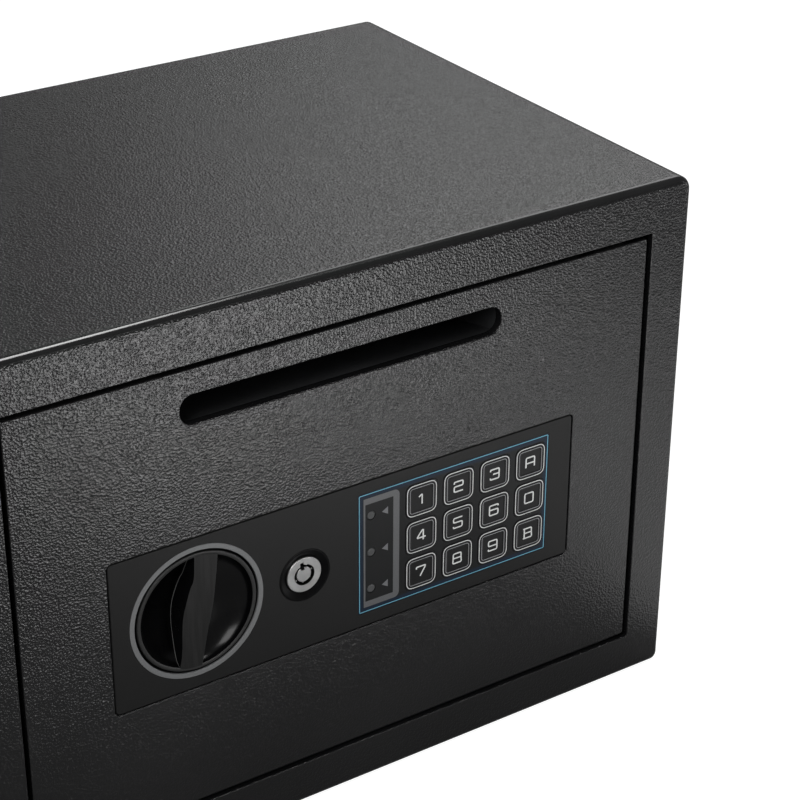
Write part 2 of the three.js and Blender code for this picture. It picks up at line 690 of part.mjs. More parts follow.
function lockPlug() {
  const floor = lockFront + keyway.depth;
  const tail = lockBack + lockCam.gap + lockCam.sheet;
  const post = rodY(lockFront + fitGap, floor + overrun, 0, 0, keyway.postRadius);
  const core = rodY(floor, lockBack + fitGap / 2, 0, 0, keyway.radius - fitGap);
  const end = rodY(lockBack - overrun, tail, 0, 0, lockCam.tailRadius);
  const pinCircle = (keyway.radius + keyway.postRadius) / 2;
  const pins = [];
  for (let i = 0; i < lockPins.count; i += 1) {
    const angle = (i + 0.5) / lockPins.count * 2 * Math.PI;
    const x = pinCircle * Math.sin(angle);
    const z = pinCircle * Math.cos(angle);
    pins.push(rodY(lockFront + lockPins.depth, floor + overrun / 2, x, z, lockPins.radius, roundSteps.wire));
  }
  const slotInPost = keywayNotch(
    keyway.postRadius - keyway.notchDepth, keyway.radius, lockFront - overrun, lockFront + keyway.depth,
  );
  return mesh('lock_plug', cut(join(post, core, end, ...pins), slotInPost), brightSteel);
}

// The cam's pin starts below and left of the axis and lifts the bar as the key turns clockwise
function keyCam() {
  const front = lockBack + lockCam.gap;
  const back = front + lockCam.sheet;
  const disc = rodY(front, back, 0, 0, lockCam.radius);
  const bore = rodY(front - overrun, back + overrun, 0, 0, lockCam.tailRadius + fitGap);
  const pin = rodY(
    front, back + lockCam.pinLength, -lifterOffset, -lifterOffset, lockCam.pinRadius, roundSteps.small,
  );
  return mesh('lock_cam', cut(disc, bore).add(cut(pin, bore)), zincSteel);
}

// The knob: a dished disc with a grip bar across it, on a spindle that works the bolts

function knobDial() {
  const { radius, rim, bowl, floor } = knob;
  const back = bowl + floor;
  const bowlRadius = radius - rim;
  const bowlSteps = 10;
  const profile = [[0, back], [radius, back], [radius, 0], [bowlRadius, 0]];
  for (let i = 1; i <= bowlSteps; i += 1) {
    const angle = i / bowlSteps * Math.PI / 2;
    profile.push([i === bowlSteps ? 0 : bowlRadius * Math.cos(angle), bowl * Math.sin(angle)]);
  }
  const dish = turned(profile.reverse());
  const outline = new THREE.Shape();
  const reach = radius - rim / 2;
  const { endHalfWidth, midHalfWidth } = grip;
  const pull = 2 * midHalfWidth - endHalfWidth;
  outline.moveTo(-endHalfWidth, -reach);
  outline.lineTo(endHalfWidth, -reach);
  outline.quadraticCurveTo(pull, 0, endHalfWidth, reach);
  outline.lineTo(-endHalfWidth, reach);
  outline.quadraticCurveTo(-pull, 0, -endHalfWidth, -reach);
  const barLimit = rodY(0, back, 0, 0, bowlRadius + rim / 2, roundSteps.large);
  const bar = plateXZ(outline, 0, bowl + floor / 2, 4 * roundSteps.corner).intersect(barLimit);
  const socket = rodY(spindle.front - fitGap, back + overrun, 0, 0, spindle.radius + fitGap);
  return mesh('knob_dial', cut(dish.add(bar), socket), glossPlastic);
}

function knobSpindle() {
  const squareFront = camBack - panelFace - spindle.squareLength;
  const half = spindle.square / 2;
  const shaft = rodY(spindle.front, squareFront, 0, 0, spindle.radius);
  const end = block(-half, half, squareFront, camBack - panelFace, -half, half);
  return mesh('knob_spindle', shaft.add(end), zincSteel);
}

function spindleBush() {
  const inner = spindle.radius + fitGap;
  const outer = inner + bush.wall;
  const front = wellBack + fitGap / 2;
  const body = join(
    rodY(front, panBack + bush.flange, 0, 0, outer),
    rodY(panBack, panBack + bush.flange, 0, 0, bush.flangeRadius),
  );
  const bore = rodY(front - overrun, panBack + overrun, 0, 0, inner);
  const part = mesh('spindle_bush', cut(body, bore), brass);
  part.position.set(knobAt.x, 0, knobAt.z);
  return part;
}

// The crank on the spindle, drawn with its pin upright and turned to the unlocked side
function crank() {
  const front = camFront;
  const back = camBack;
  const outline = new THREE.Shape();
  outline.absarc(0, 0, cam.hubRadius, Math.PI, 2 * Math.PI);
  outline.lineTo(cam.endRadius, crankRadius);
  outline.absarc(0, crankRadius, cam.endRadius, 0, Math.PI);
  outline.closePath();
  const half = spindle.square / 2 + cam.squareGap;
  const lever = plateXZ(outline, front, back, 3 * roundSteps.corner);
  const square = block(-half, half, front - overrun, back + overrun, -half, half);
  const pin = rodY(front, carriageY.back + cam.pinPast, 0, crankRadius, cam.pinRadius, roundSteps.small);
  const turnedLever = join(lever, pin).rotate([0, crankTurn, 0]);
  const hole = square.rotate([0, knob.lean, 0]);
  return mesh('crank_lever', cut(turnedLever, hole), zincSteel);
}

// The bolt work: a carriage plate on two studs, with a round bolt on each end

function studPlaces() {
  const x = boltRoot + stud.inset;
  return [knobAt.z - stud.offsetZ, knobAt.z + stud.offsetZ].map((z) => [x, z]);
}

function boltCarriage() {
  const { front, back } = carriageY;
  const low = boltHeights[0] - carriage.flange;
  const high = boltHeights[1] + carriage.flange;
  const bar = block(boltRoot, barRight, front, back, low, high);
  const arm = block(
    barRight - carriage.sheet, armRight, front, back, knobAt.z - carriage.armBottom, armTop,
  );
  const flanges = boltHeights.map((z) => block(
    boltRoot, boltRoot + carriage.flangeSheet, bolt.depth - carriage.flange, bolt.depth + carriage.flange,
    z - carriage.flange, z + carriage.flange,
  ));
  const slotHalf = cam.pinRadius + cam.slotGap;
  const pinX = knobAt.x + crankOffset;
  const crankSlot = block(
    pinX - slotHalf, pinX + slotHalf, front - overrun, back + overrun,
    knobAt.z + crankOffset - slotHalf, knobAt.z + crankRadius + slotHalf,
  );
  const room = stud.radius + stud.gap;
  const studSlots = studPlaces().map(([x, z]) => join(
    rodY(front - overrun, back + overrun, x, z, room, roundSteps.small),
    rodY(front - overrun, back + overrun, x + bolt.throw, z, room, roundSteps.small),
    block(x, x + bolt.throw, front - overrun, back + overrun, z - room, z + room),
  ));
  return mesh('bolt_carriage', cut(join(bar, arm, ...flanges), crankSlot, ...studSlots), zincSteel);
}

function lockingBolt(name, z) {
  const { radius, chamfer, length, depth } = bolt;
  const pin = turned([
    [0, 0], [radius - chamfer, 0], [radius, chamfer], [radius, length], [0, length],
  ], roundSteps.middle);
  return mesh(name, pin.rotate([0, 0, -90]).translate(boltTip, depth, z), brightSteel);
}

function carriageStud(name, [x, z]) {
  const { radius, headRadius, head, gap } = stud;
  return mesh(name, join(
    rodY(panBack, carriageY.front - gap, x, z, headRadius),
    rodY(panBack, carriageY.back + gap + head, x, z, radius),
    rodY(carriageY.back + gap, carriageY.back + gap + head, x, z, headRadius),
  ), zincSteel);
}

function boltGuide() {
  const left = doorEdge.left + guide.fromEdge;
  const right = left + guide.sheet;
  const low = boltHeights[0] - guide.fromBolt;
  const high = boltHeights[1] + guide.fromBolt;
  const bracket = join(
    block(left, right, doorBack, coverInner - fitGap, low, high),
    block(left, right + guide.footLength, doorBack, doorBack + guide.footSheet, low, high),
  );
  const bores = boltHeights.map((z) => (
    rodX(left - overrun, right + overrun, bolt.depth, z, bolt.radius + guide.holeGap)
  ));
  return mesh('bolt_guide', cut(bracket, ...bores), innerPaint);
}

// The solenoid: its plunger rests on the carriage, and the key lock's bar can lift it

const solenoidTop = solenoidBottom + solenoid.height;
const collarBottom = plungerTip + plunger.toCollar;
const tabTop = collarBottom - fitGap;

function solenoidFrame() {
  const left = plungerX - solenoid.halfWidth;
  const right = plungerX + solenoid.halfWidth;
  const back = solenoid.depth + solenoid.reach;
  const body = block(left, right, panBack, back, solenoidBottom, solenoidTop);
  const hollow = block(
    left - overrun, right + overrun, panBack + solenoid.sheet, back + overrun,
    solenoidBottom + solenoid.sheet, solenoidTop - solenoid.sheet,
  );
  const bore = rodZ(
    solenoidBottom - overrun, solenoidBottom + overrun, plungerX, solenoid.depth, plunger.radius + coil.boreGap,
  );
  const foot = block(left, right, panBack, panBack + solenoid.sheet, solenoidBottom - solenoid.foot, solenoidTop);
  return mesh('solenoid_frame', join(cut(body, hollow, bore), foot), zincSteel);
}

function solenoidCoil() {
  const low = solenoidBottom + solenoid.sheet;
  const high = solenoidTop - solenoid.sheet;
  const winding = rodZ(low, high, plungerX, solenoid.depth, coil.radius);
  const bore = rodZ(low - overrun, high + overrun, plungerX, solenoid.depth, plunger.radius + coil.boreGap);
  return mesh('solenoid_coil', cut(winding, bore), coilTape);
}

function solenoidPlunger() {
  const body = join(
    rodZ(plungerTip, plungerTip + plunger.length, plungerX, solenoid.depth, plunger.radius),
    rodZ(collarBottom, collarBottom + plunger.collar, plungerX, solenoid.depth, plunger.collarRadius),
  );
  return mesh('solenoid_plunger', body, brightSteel);
}

function solenoidSpring() {
  const low = collarBottom + plunger.collar + spring.gap + spring.wire;
  const high = solenoidBottom - spring.gap - spring.wire;
  class Helix extends THREE.Curve {
    getPoint(t, target = new THREE.Vector3()) {
      const angle = t * spring.coils * 2 * Math.PI;
      return target.set(
        plungerX + spring.radius * Math.cos(angle),
        solenoid.depth + spring.radius * Math.sin(angle),
        low + t * (high - low),
      );
    }
  }
  return mesh('solenoid_spring', wire(new Helix(), spring.wire, 8 * spring.coils, 5), zincSteel);
}

function lifter() {
  const front = lockBack + lockCam.gap + lockCam.sheet + 2 * fitGap;
  const back = front + liftBar.sheet;
  const low = lockAt.z - lifterOffset + lockCam.pinRadius + liftBar.gap;
  const legLeft = plungerX + liftBar.tabOverhang;
  const legRight = legLeft + liftBar.legWidth;
  const tabBottom = tabTop - liftBar.tabHeight;
  const bar = block(legLeft, lockAt.x + liftBar.past, front, back, low, low + liftBar.width);
  const leg = block(legLeft, legRight, front, back, low, tabTop);
  const tab = block(
    plungerX - liftBar.tabOverhang, legRight, solenoid.depth - liftBar.tabReach, back, tabBottom, tabTop,
  );
  const bore = rodZ(
    tabBottom - overrun, tabTop + overrun, plungerX, solenoid.depth, plunger.radius + fitGap,
  );
  return mesh('lift_bar', cut(join(bar, leg, tab), bore), zincSteel);
}

// The inner cover over the bolt work, with windows for the bolts, the batteries and the reset button

const trayHalfX = cell.count * cell.pitch / 2 + tray.sideRoom + tray.wall;
const trayHalfZ = (cell.length + cell.nub) / 2 + tray.endRoom + tray.wall;

const earZ = panelAt.z;
const earLeftX = coverEdge.left - coverEar.reach / 2;
const earRightX = coverEdge.right + coverEar.reach / 2;

function hatchWindow(grow, y0, y1) {
  const halfX = trayHalfX - hatch.windowInset + grow;
  const halfZ = trayHalfZ - hatch.windowInset + grow;
  return block(trayAt.x - halfX, trayAt.x + halfX, y0, y1, trayAt.z - halfZ, trayAt.z + halfZ);
}

function mechanismCover() {
  const { left, right, bottom, top } = coverEdge;
  const { sheet } = cover;
  const tub = block(left, right, doorBack, coverBack, bottom, top);
  const hollow = block(
    left + sheet, right - sheet, doorBack - overrun, coverInner, bottom + sheet, top - sheet,
  );
  const halfLength = coverEar.length / 2;
  const ears = [earLeftX, earRightX].map((x) => cut(
    block(
      x - coverEar.reach / 2, x + coverEar.reach / 2, doorBack, doorBack + sheet,
      earZ - halfLength, earZ + halfLength,
    ),
    rodY(doorBack - overrun, doorBack + overrun, x, earZ, screw.radius + fitGap, roundSteps.small),
  ));
  const boltHoles = boltHeights.map((z) => (
    rodX(left - overrun, left + overrun, bolt.depth, z, bolt.radius + cover.boltGap)
  ));
  const window = hatchWindow(0, coverInner - overrun, coverBack + overrun);
  const buttonHole = rodY(
    coverInner - overrun, coverBack + overrun, resetAt.x, resetAt.z, reset.radius + reset.gap,
  );
  return mesh('mechanism_cover', join(cut(tub, hollow, ...boltHoles, window, buttonHole), ...ears), innerPaint);
}

function coverScrew(name, x) {
  const seat = doorBack + cover.sheet;
  return mesh(name, join(
    rodY(seat, seat + screw.head, x, earZ, screw.headRadius, roundSteps.small),
    rodY(doorBack, seat + screw.head, x, earZ, screw.radius, roundSteps.small),
  ), zincSteel);
}

// The battery tray, its cells and the hatch that lifts off the inner cover

function batteryTray() {
  const { wall } = tray;
  const { x, z } = trayAt;
  const high = coverInner - fitGap;
  const tub = block(x - trayHalfX, x + trayHalfX, panBack, high, z - trayHalfZ, z + trayHalfZ);
  const hollow = block(
    x - trayHalfX + wall, x + trayHalfX - wall, panBack + wall, high + overrun,
    z - trayHalfZ + wall, z + trayHalfZ - wall,
  );
  return mesh('battery_tray', cut(tub, hollow), trayPlastic);
}

// Four cells side by side, every second one head down, held together by a thin wrap
function batteryPack() {
  const y = panBack + tray.wall + fitGap + cell.radius;
  const halfSpan = (cell.count - 1) / 2 * cell.pitch;
  const bottom = trayAt.z - (cell.length - cell.nub) / 2;
  const top = trayAt.z + (cell.length - cell.nub) / 2;
  const wrap = block(
    trayAt.x - halfSpan, trayAt.x + halfSpan, y - cell.wrap / 2, y + cell.wrap / 2, bottom, top,
  );
  const cells = [];
  for (let i = 0; i < cell.count; i += 1) {
    const x = trayAt.x - halfSpan + i * cell.pitch;
    const up = i % 2 === 0 ? 1 : -1;
    const low = trayAt.z - cell.length / 2 - up * cell.nub / 2;
    const nubLow = up > 0 ? low + cell.length - cell.nub : low - cell.nub;
    cells.push(join(
      rodZ(low, low + cell.length, x, y, cell.radius, roundSteps.small),
      rodZ(nubLow, nubLow + 2 * cell.nub, x, y, cell.nubRadius, roundSteps.small),
    ));
  }
  return mesh('battery_pack', join(wrap, ...cells), cellWrap);
}

function batteryHatch() {
  const { lap, thickness, plug, gripWidth, gripHeight, gripDepth } = hatch;
  const back = coverBack + thickness;
  const lid = hatchWindow(lap, coverBack, back);
  const rim = hatchWindow(-fitGap, coverBack - plug, coverBack);
  const gripZ = trayAt.z + trayHalfZ - gripHeight;
  const dent = block(
    trayAt.x - gripWidth / 2, trayAt.x + gripWidth / 2, back - gripDepth, back + overrun,
    gripZ - gripHeight, gripZ,
  );
  return mesh('battery_hatch', cut(join(lid, rim), dent), trayPlastic);
}

function resetButton() {
  const { x, z } = resetAt;
  const { radius, proud, flangeRadius, flange } = reset;
  const flangeBack = coverInner - fitGap;
  const body = join(
    rodY(flangeBack - flange, coverBack + proud, x, z, radius),
    rodY(flangeBack - flange, flangeBack, x, z, flangeRadius),
  );
  return mesh('reset_button', body, resetRed);
}

function resetSwitchBody() {
  const { size, depth, post, clearance } = resetSwitch;
  const half = size / 2;
  const back = coverInner - fitGap - reset.flange - clearance;
  const body = block(resetAt.x - half, resetAt.x + half, back - depth, back, resetAt.z - half, resetAt.z + half);
  const posts = [];
  [-1, 1].forEach((u) => [-1, 1].forEach((v) => {
    const x = resetAt.x + u * (half - post / 2);
    const z = resetAt.z + v * (half - post / 2);
    posts.push(block(x - post / 2, x + post / 2, back - post, coverInner, z - post / 2, z + post / 2));
  }));
  return mesh('reset_switch', join(body, ...posts), trayPlastic);
}

// The plug on the board, with a lead to the coil and a lead to the battery tray through the pan's hole
function wireHarness() {
  const boardBack = boardFront + board.thickness;
  const plugBack = boardBack + lead.plugDepth;
  const side = lead.plug / 4;
  const half = lead.plug / 2;
  const plug = block(
    cableAt.x - half, cableAt.x + half, boardBack, plugBack, cableAt.z - half, cableAt.z + half,
  );
  const route = (points) => new THREE.CatmullRomCurve3(points.map((p) => new THREE.Vector3(...p)));
  const coilLead = route([
    [cableAt.x - side, plugBack - fitGap, cableAt.z],
    [cableAt.x - side, panBack, cableAt.z],
    [cableAt.x - side, solenoid.depth, cableAt.z + lead.coilExit],
    [cableAt.x - lead.coilExit, solenoid.depth, solenoidBottom],
    [(cableAt.x + plungerX) / 2, solenoid.depth, solenoidTop - lead.coilExit / 2],
    [plungerX + coil.radius + fitGap, solenoid.depth, solenoidTop - lead.coilExit / 2],
  ]);
  const trayLead = route([
    [cableAt.x + side, plugBack - fitGap, cableAt.z],
    [cableAt.x + side, panBack, cableAt.z],
    [trayAt.x - trayHalfX - side, panBack + 2 * side, cableAt.z],
    [trayAt.x - trayHalfX - fitGap, panBack + 2 * side, cableAt.z],
  ]);
  return mesh('wire_harness', join(
    plug,
    wire(coilLead, lead.radius, 36, roundSteps.wire),
    wire(trayLead, lead.radius, 18, roundSteps.wire),
  ), leadRed);
}

// The whole safe, with each sub-assembly in its own group

function groupAt(x, y, z, ...members) {
  const group = new THREE.Group();
  group.position.set(x, y, z);
  group.add(...members);
  return group;
}

const dialGroup = groupAt(0, panelFace, 0, knobDial(), knobSpindle());
dialGroup.rotation.y = THREE.MathUtils.degToRad(knob.lean);
const knobGroup = groupAt(knobAt.x, 0, knobAt.z, dialGroup, crank());

const lockGroup = groupAt(lockAt.x, 0, lockAt.z, lockHousing(), lockPlug(), keyCam());

const keys = keyPlaces().map(({ name, x, z }) => {
  const cap = keyCap(name);
  cap.position.set(x, panelFace, z);
  return cap;
});
const keypad = groupAt(0, 0, 0, keypadOverlay(), statusLenses(), keypadBoard(), ...keys);

const hingeLeaf = groupAt(
  0, 0, 0,
  hingeBlockAt('hinge_block_top', blockTop - hingeBlock.height),
  hingeBlockAt('hinge_block_bottom', blockBottom),
  hingeRod(),
);

const boltWork = groupAt(
  0, 0, 0,
  boltCarriage(),
  lockingBolt('locking_bolt_bottom', boltHeights[0]),
  lockingBolt('locking_bolt_top', boltHeights[1]),
  carriageStud('carriage_stud_bottom', studPlaces()[0]),
  carriageStud('carriage_stud_top', studPlaces()[1]),
  boltGuide(),
);

const solenoidGroup = groupAt(
  0, 0, 0, solenoidFrame(), solenoidCoil(), solenoidPlunger(), solenoidSpring(), lifter(),
);

const coverGroup = groupAt(
  0, 0, 0,
  mechanismCover(),
  coverScrew('cover_screw_left', earLeftX),
  coverScrew('cover_screw_right', earRightX),
  batteryTray(),
  batteryPack(),
  batteryHatch(),
  resetButton(),
  resetSwitchBody(),
);

const doorGroup = groupAt(
  0, 0, 0,
  doorPlate(), hingeLeaf, slotChute(), chuteHood(), backingPan(), controlPanel(), knobRingTrim(),
  lockBezel(), nut(), spindleBush(), wireHarness(),
  knobGroup, lockGroup, keypad, boltWork, solenoidGroup, coverGroup,
);

const safe = groupAt(
  0, frontY, 0,
  cabinetShell(), cabinetBack(), cabinetFront(), doorStopFrame(), mat(),
  lug('hinge_lug_top', lugTop, lugTop),
  lug('hinge_lug_bottom', lugBottom - hingeLug.sheet, lugBottom - hingeLug.leg),
  doorGroup,
);
safe.name = 'drop_safe';

export default safe;
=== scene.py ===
"""A drop safe: textured black steel, a dished knob, a tubular key lock and a film keypad."""

import math

import bpy
from mathutils import Matrix, Vector


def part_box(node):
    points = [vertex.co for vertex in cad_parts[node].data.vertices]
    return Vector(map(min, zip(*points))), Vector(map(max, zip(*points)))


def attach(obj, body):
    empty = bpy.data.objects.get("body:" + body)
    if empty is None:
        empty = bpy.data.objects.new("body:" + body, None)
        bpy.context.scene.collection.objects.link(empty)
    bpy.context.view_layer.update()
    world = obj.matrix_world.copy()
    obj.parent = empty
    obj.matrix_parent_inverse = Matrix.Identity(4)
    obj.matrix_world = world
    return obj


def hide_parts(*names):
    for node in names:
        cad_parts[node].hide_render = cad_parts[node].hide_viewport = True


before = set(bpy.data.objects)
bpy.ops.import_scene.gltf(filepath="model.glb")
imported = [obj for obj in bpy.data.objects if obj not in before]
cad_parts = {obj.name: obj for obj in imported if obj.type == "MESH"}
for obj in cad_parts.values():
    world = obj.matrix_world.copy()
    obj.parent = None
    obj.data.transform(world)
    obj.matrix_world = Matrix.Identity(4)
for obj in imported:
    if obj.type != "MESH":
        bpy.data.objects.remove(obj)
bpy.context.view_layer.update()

MM = 0.001
FRONT = -125.0  # where the cabinet's front face lies
NEAR = 0.01  # places closer than this are the same place
PAST = 5  # how far a cutter reaches beyond what it cuts

# Sizes that the pieces share or that the photo gives, in millimetres

SHEET = 2
UPPER_CORNER = 7
LOWER_CORNER = 4
BORDER = 20.5
TOP_BORDER = 23
ANCHOR_RADIUS = 6
ANCHOR_ROW = (-100, 100)
ANCHOR_DEPTH = 150
ANCHOR_HEIGHT = 125
SLOT = {"x0": -78.25, "x1": 74.75, "z0": 203, "z1": 216, "radius": 6}
BOWL_RADIUS = 25.9
BOWL_DEPTH = 11.0
GRIP_LEAN = 9  # degrees
KEY_SLOT_LEAN = -12  # degrees
KEY_SLOT_HALF = 0.85
LOCK_BORE = 8.7
LENS_RADIUS = 2
INK_WIDTH = 0.42

# Placing: sizes are in millimetres, and a depth is measured back from the cabinet's front face


def at(x, depth, z):
    return (x * MM, (depth + FRONT) * MM, z * MM)


def cad_box(node):
    """x, depth and z limits of a CAD node, in millimetres."""
    low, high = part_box(node)
    x0, y0, z0 = (value / MM for value in low)
    x1, y1, z1 = (value / MM for value in high)
    return x0, x1, y0 - FRONT, y1 - FRONT, z0, z1


def centre_of(node):
    x0, x1, _, _, z0, z1 = cad_box(node)
    return (x0 + x1) / 2, (z0 + z1) / 2


def clear():
    if bpy.context.object and bpy.context.object.mode != "OBJECT":
        bpy.ops.object.mode_set(mode="OBJECT")
    bpy.ops.object.select_all(action="DESELECT")


def only(piece):
    clear()
    piece.select_set(True)
    bpy.context.view_layer.objects.active = piece


def settle(piece, name):
    only(piece)
    piece.name = name
    piece.data.name = name
    bpy.ops.object.transform_apply(location=True, rotation=True, scale=True)
    return piece


# Starting forms


def slab(name, x0, x1, d0, d1, z0, z1):
    clear()
    bpy.ops.mesh.primitive_cube_add(
        size=1,
        location=at((x0 + x1) / 2, (d0 + d1) / 2, (z0 + z1) / 2),
        scale=((x1 - x0) * MM, (d1 - d0) * MM, (z1 - z0) * MM),
    )
    return settle(bpy.context.object, name)


def drum(name, x, z, radius, d0, d1, sides=96):
    """A round form whose axis runs from front to back."""
    clear()
    bpy.ops.mesh.primitive_cylinder_add(
        vertices=sides,
        radius=radius * MM,
        depth=(d1 - d0) * MM,
        location=at(x, (d0 + d1) / 2, z),
        rotation=(math.pi / 2, 0, 0),
    )
    return settle(bpy.context.object, name)


def bar_x(name, x0, x1, depth, z, radius, sides=64):
    clear()
    bpy.ops.mesh.primitive_cylinder_add(
        vertices=sides,
        radius=radius * MM,
        depth=(x1 - x0) * MM,
        location=at((x0 + x1) / 2, depth, z),
        rotation=(0, math.pi / 2, 0),
    )
    return settle(bpy.context.object, name)


def bar_z(name, z0, z1, x, depth, radius, sides=64):
    clear()
    bpy.ops.mesh.primitive_cylinder_add(
        vertices=sides,
        radius=radius * MM,
        depth=(z1 - z0) * MM,
        location=at(x, depth, (z0 + z1) / 2),
    )
    return settle(bpy.context.object, name)


# Shaping


def pick_edges(piece, rule):
    """Leaves selected, for edit mode, the creases whose two ends pass the rule.

    The rule gets each end as x, depth and z in millimetres.
    """
    only(piece)
    bpy.ops.object.mode_set(mode="EDIT")
    bpy.ops.mesh.select_mode(type="EDGE")
    bpy.ops.mesh.select_all(action="DESELECT")
    bpy.ops.mesh.edges_select_sharp(sharpness=math.radians(20))
    bpy.ops.object.mode_set(mode="OBJECT")
    creases = {edge.index for edge in piece.data.edges if edge.select}
    bpy.ops.object.mode_set(mode="EDIT")
    bpy.ops.mesh.select_all(action="DESELECT")
    bpy.ops.object.mode_set(mode="OBJECT")
    verts = piece.data.vertices
    for edge in piece.data.edges:
        ends = []
        for index in edge.vertices:
            x, y, z = verts[index].co / MM
            ends.append((x, y - FRONT, z))
        edge.select = edge.index in creases and rule(*ends)
    bpy.ops.object.mode_set(mode="EDIT")


def pick_faces(piece, rule):
    """Leaves selected, for edit mode, the faces whose centre and normal pass the rule."""
    only(piece)
    bpy.ops.object.mode_set(mode="EDIT")
    bpy.ops.mesh.select_mode(type="FACE")
    bpy.ops.mesh.select_all(action="DESELECT")
    bpy.ops.object.mode_set(mode="OBJECT")
    for face in piece.data.polygons:
        x, y, z = face.center / MM
        face.select = rule((x, y - FRONT, z), face.normal)
    bpy.ops.object.mode_set(mode="EDIT")


def along_depth(a, b):
    return abs(a[0] - b[0]) < NEAR and abs(a[2] - b[2]) < NEAR


def lies_at(depth):
    return lambda a, b: abs(a[1] - depth) < NEAR and abs(b[1] - depth) < NEAR


def round_edges(piece, rule, radius, steps):
    pick_edges(piece, rule)
    bpy.ops.mesh.bevel(offset=radius * MM, segments=steps, affect="EDGES")
    bpy.ops.object.mode_set(mode="OBJECT")
    return piece


def pad(name, x0, x1, d0, d1, z0, z1, radius, steps=8):
    """A slab with round corners as seen from the front."""
    return round_edges(slab(name, x0, x1, d0, d1, z0, z1), along_depth, radius, steps)


def apply_boolean(piece, other, operation):
    only(piece)
    step = piece.modifiers.new("shape", "BOOLEAN")
    step.operation = operation
    step.object = other
    step.solver = "EXACT"
    bpy.ops.object.modifier_apply(modifier=step.name)
    bpy.data.meshes.remove(other.data)


def cut(piece, *cutters):
    for cutter in cutters:
        apply_boolean(piece, cutter, "DIFFERENCE")
    return piece


def join(piece, *others):
    only(piece)
    for other in others:
        other.select_set(True)
    bpy.ops.object.join()
    return piece


def smooth(piece, angle=40):
    only(piece)
    bpy.ops.object.shade_smooth_by_angle(angle=math.radians(angle))
    even = piece.modifiers.new("even", "WEIGHTED_NORMAL")
    even.keep_sharp = True
    bpy.ops.object.modifier_apply(modifier=even.name)
    return piece


def soften(piece, width, steps=3, angle=40):
    only(piece)
    edge = piece.modifiers.new("edges", "BEVEL")
    edge.width = width * MM
    edge.segments = steps
    edge.limit_method = "ANGLE"
    edge.angle_limit = math.radians(angle)
    bpy.ops.object.modifier_apply(modifier=edge.name)
    return smooth(piece)


def copy_of(piece, name, dx=0, dz=0):
    twin = piece.copy()
    twin.data = piece.data.copy()
    bpy.context.collection.objects.link(twin)
    twin.location = (dx * MM, 0, dz * MM)
    return settle(twin, name)


def turn_about(piece, x, z, degrees):
    """Turns a piece about a line from front to back, clockwise as seen from the front."""
    spot = Vector(at(x, 0, z))
    piece.data.transform(Matrix.Translation(-spot))
    piece.rotation_euler = (0, math.radians(degrees), 0)
    piece.location = spot
    return settle(piece, piece.name)


def printed(name, paths, width, x, z, depth, closed=False, proud=0.05):
    """A printed line along flat paths of (x, z) points, as a thin raised film of ink."""
    line = bpy.data.curves.new(name, "CURVE")
    line.dimensions = "3D"
    line.bevel_depth = width / 2 * MM
    line.bevel_resolution = 3
    line.use_fill_caps = True
    for path in paths:
        spline = line.splines.new("POLY")
        spline.points.add(len(path) - 1)
        spline.use_cyclic_u = closed
        for point, (u, v) in zip(spline.points, path):
            point.co = (u * MM, 0, v * MM, 1)
    piece = bpy.data.objects.new(name, line)
    bpy.context.collection.objects.link(piece)
    only(piece)
    bpy.ops.object.convert(target="MESH")
    piece = bpy.context.object
    piece.scale = (1, 2 * proud / width, 1)
    piece.location = at(x, depth, z)
    return smooth(settle(piece, name), 60)


def rounded_path(points, radius, closed=False, steps=4):
    """The path with each inner corner turned into a short arc."""
    count = len(points)
    longest = 0.49  # the share of a leg that one arc may take
    path = []
    for i, corner in enumerate(points):
        ends = not closed and i in (0, count - 1)
        here = Vector(corner)
        before = Vector(points[i - 1]) - here
        after = Vector(points[(i + 1) % count]) - here
        reach = min(radius, before.length * longest, after.length * longest)
        if ends or reach < NEAR:
            path.append(tuple(here))
            continue
        start = here + before.normalized() * reach
        end = here + after.normalized() * reach
        for step in range(steps + 1):
            t = step / steps
            path.append(tuple(start.lerp(here, t).lerp(here.lerp(end, t), t)))
    return path


def square_path(half_x, half_z, radius):
    corners = [(-half_x, -half_z), (half_x, -half_z), (half_x, half_z), (-half_x, half_z)]
    return rounded_path(corners, radius, closed=True, steps=6)


# Shader maths


class Wire:
    """A number that varies over the surface."""

    def __init__(self, tree, socket):
        self.tree = tree
        self.socket = socket

    def calc(self, operation, *values):
        node = self.tree.nodes.new("ShaderNodeMath")
        node.operation = operation
        for slot, value in zip(node.inputs, values):
            if isinstance(value, Wire):
                self.tree.links.new(value.socket, slot)
            else:
                slot.default_value = value
        return Wire(self.tree, node.outputs[0])

    def __add__(self, other):
        return self.calc("ADD", self, other)

    def __radd__(self, other):
        return self.calc("ADD", other, self)

    def __sub__(self, other):
        return self.calc("SUBTRACT", self, other)

    def __rsub__(self, other):
        return self.calc("SUBTRACT", other, self)

    def __mul__(self, other):
        return self.calc("MULTIPLY", self, other)

    def __rmul__(self, other):
        return self.calc("MULTIPLY", other, self)

    def __truediv__(self, other):
        return self.calc("DIVIDE", self, other)

    def __pow__(self, other):
        return self.calc("POWER", self, other)

    def least(self, other):
        return self.calc("MINIMUM", self, other)

    def most(self, other):
        return self.calc("MAXIMUM", self, other)

    def ramp(self, low, high):
        """0 below low and 1 above high."""
        node = self.tree.nodes.new("ShaderNodeMapRange")
        node.interpolation_type = "SMOOTHSTEP"
        node.inputs["From Min"].default_value = low
        node.inputs["From Max"].default_value = high
        self.tree.links.new(self.socket, node.inputs["Value"])
        return Wire(self.tree, node.outputs["Result"])


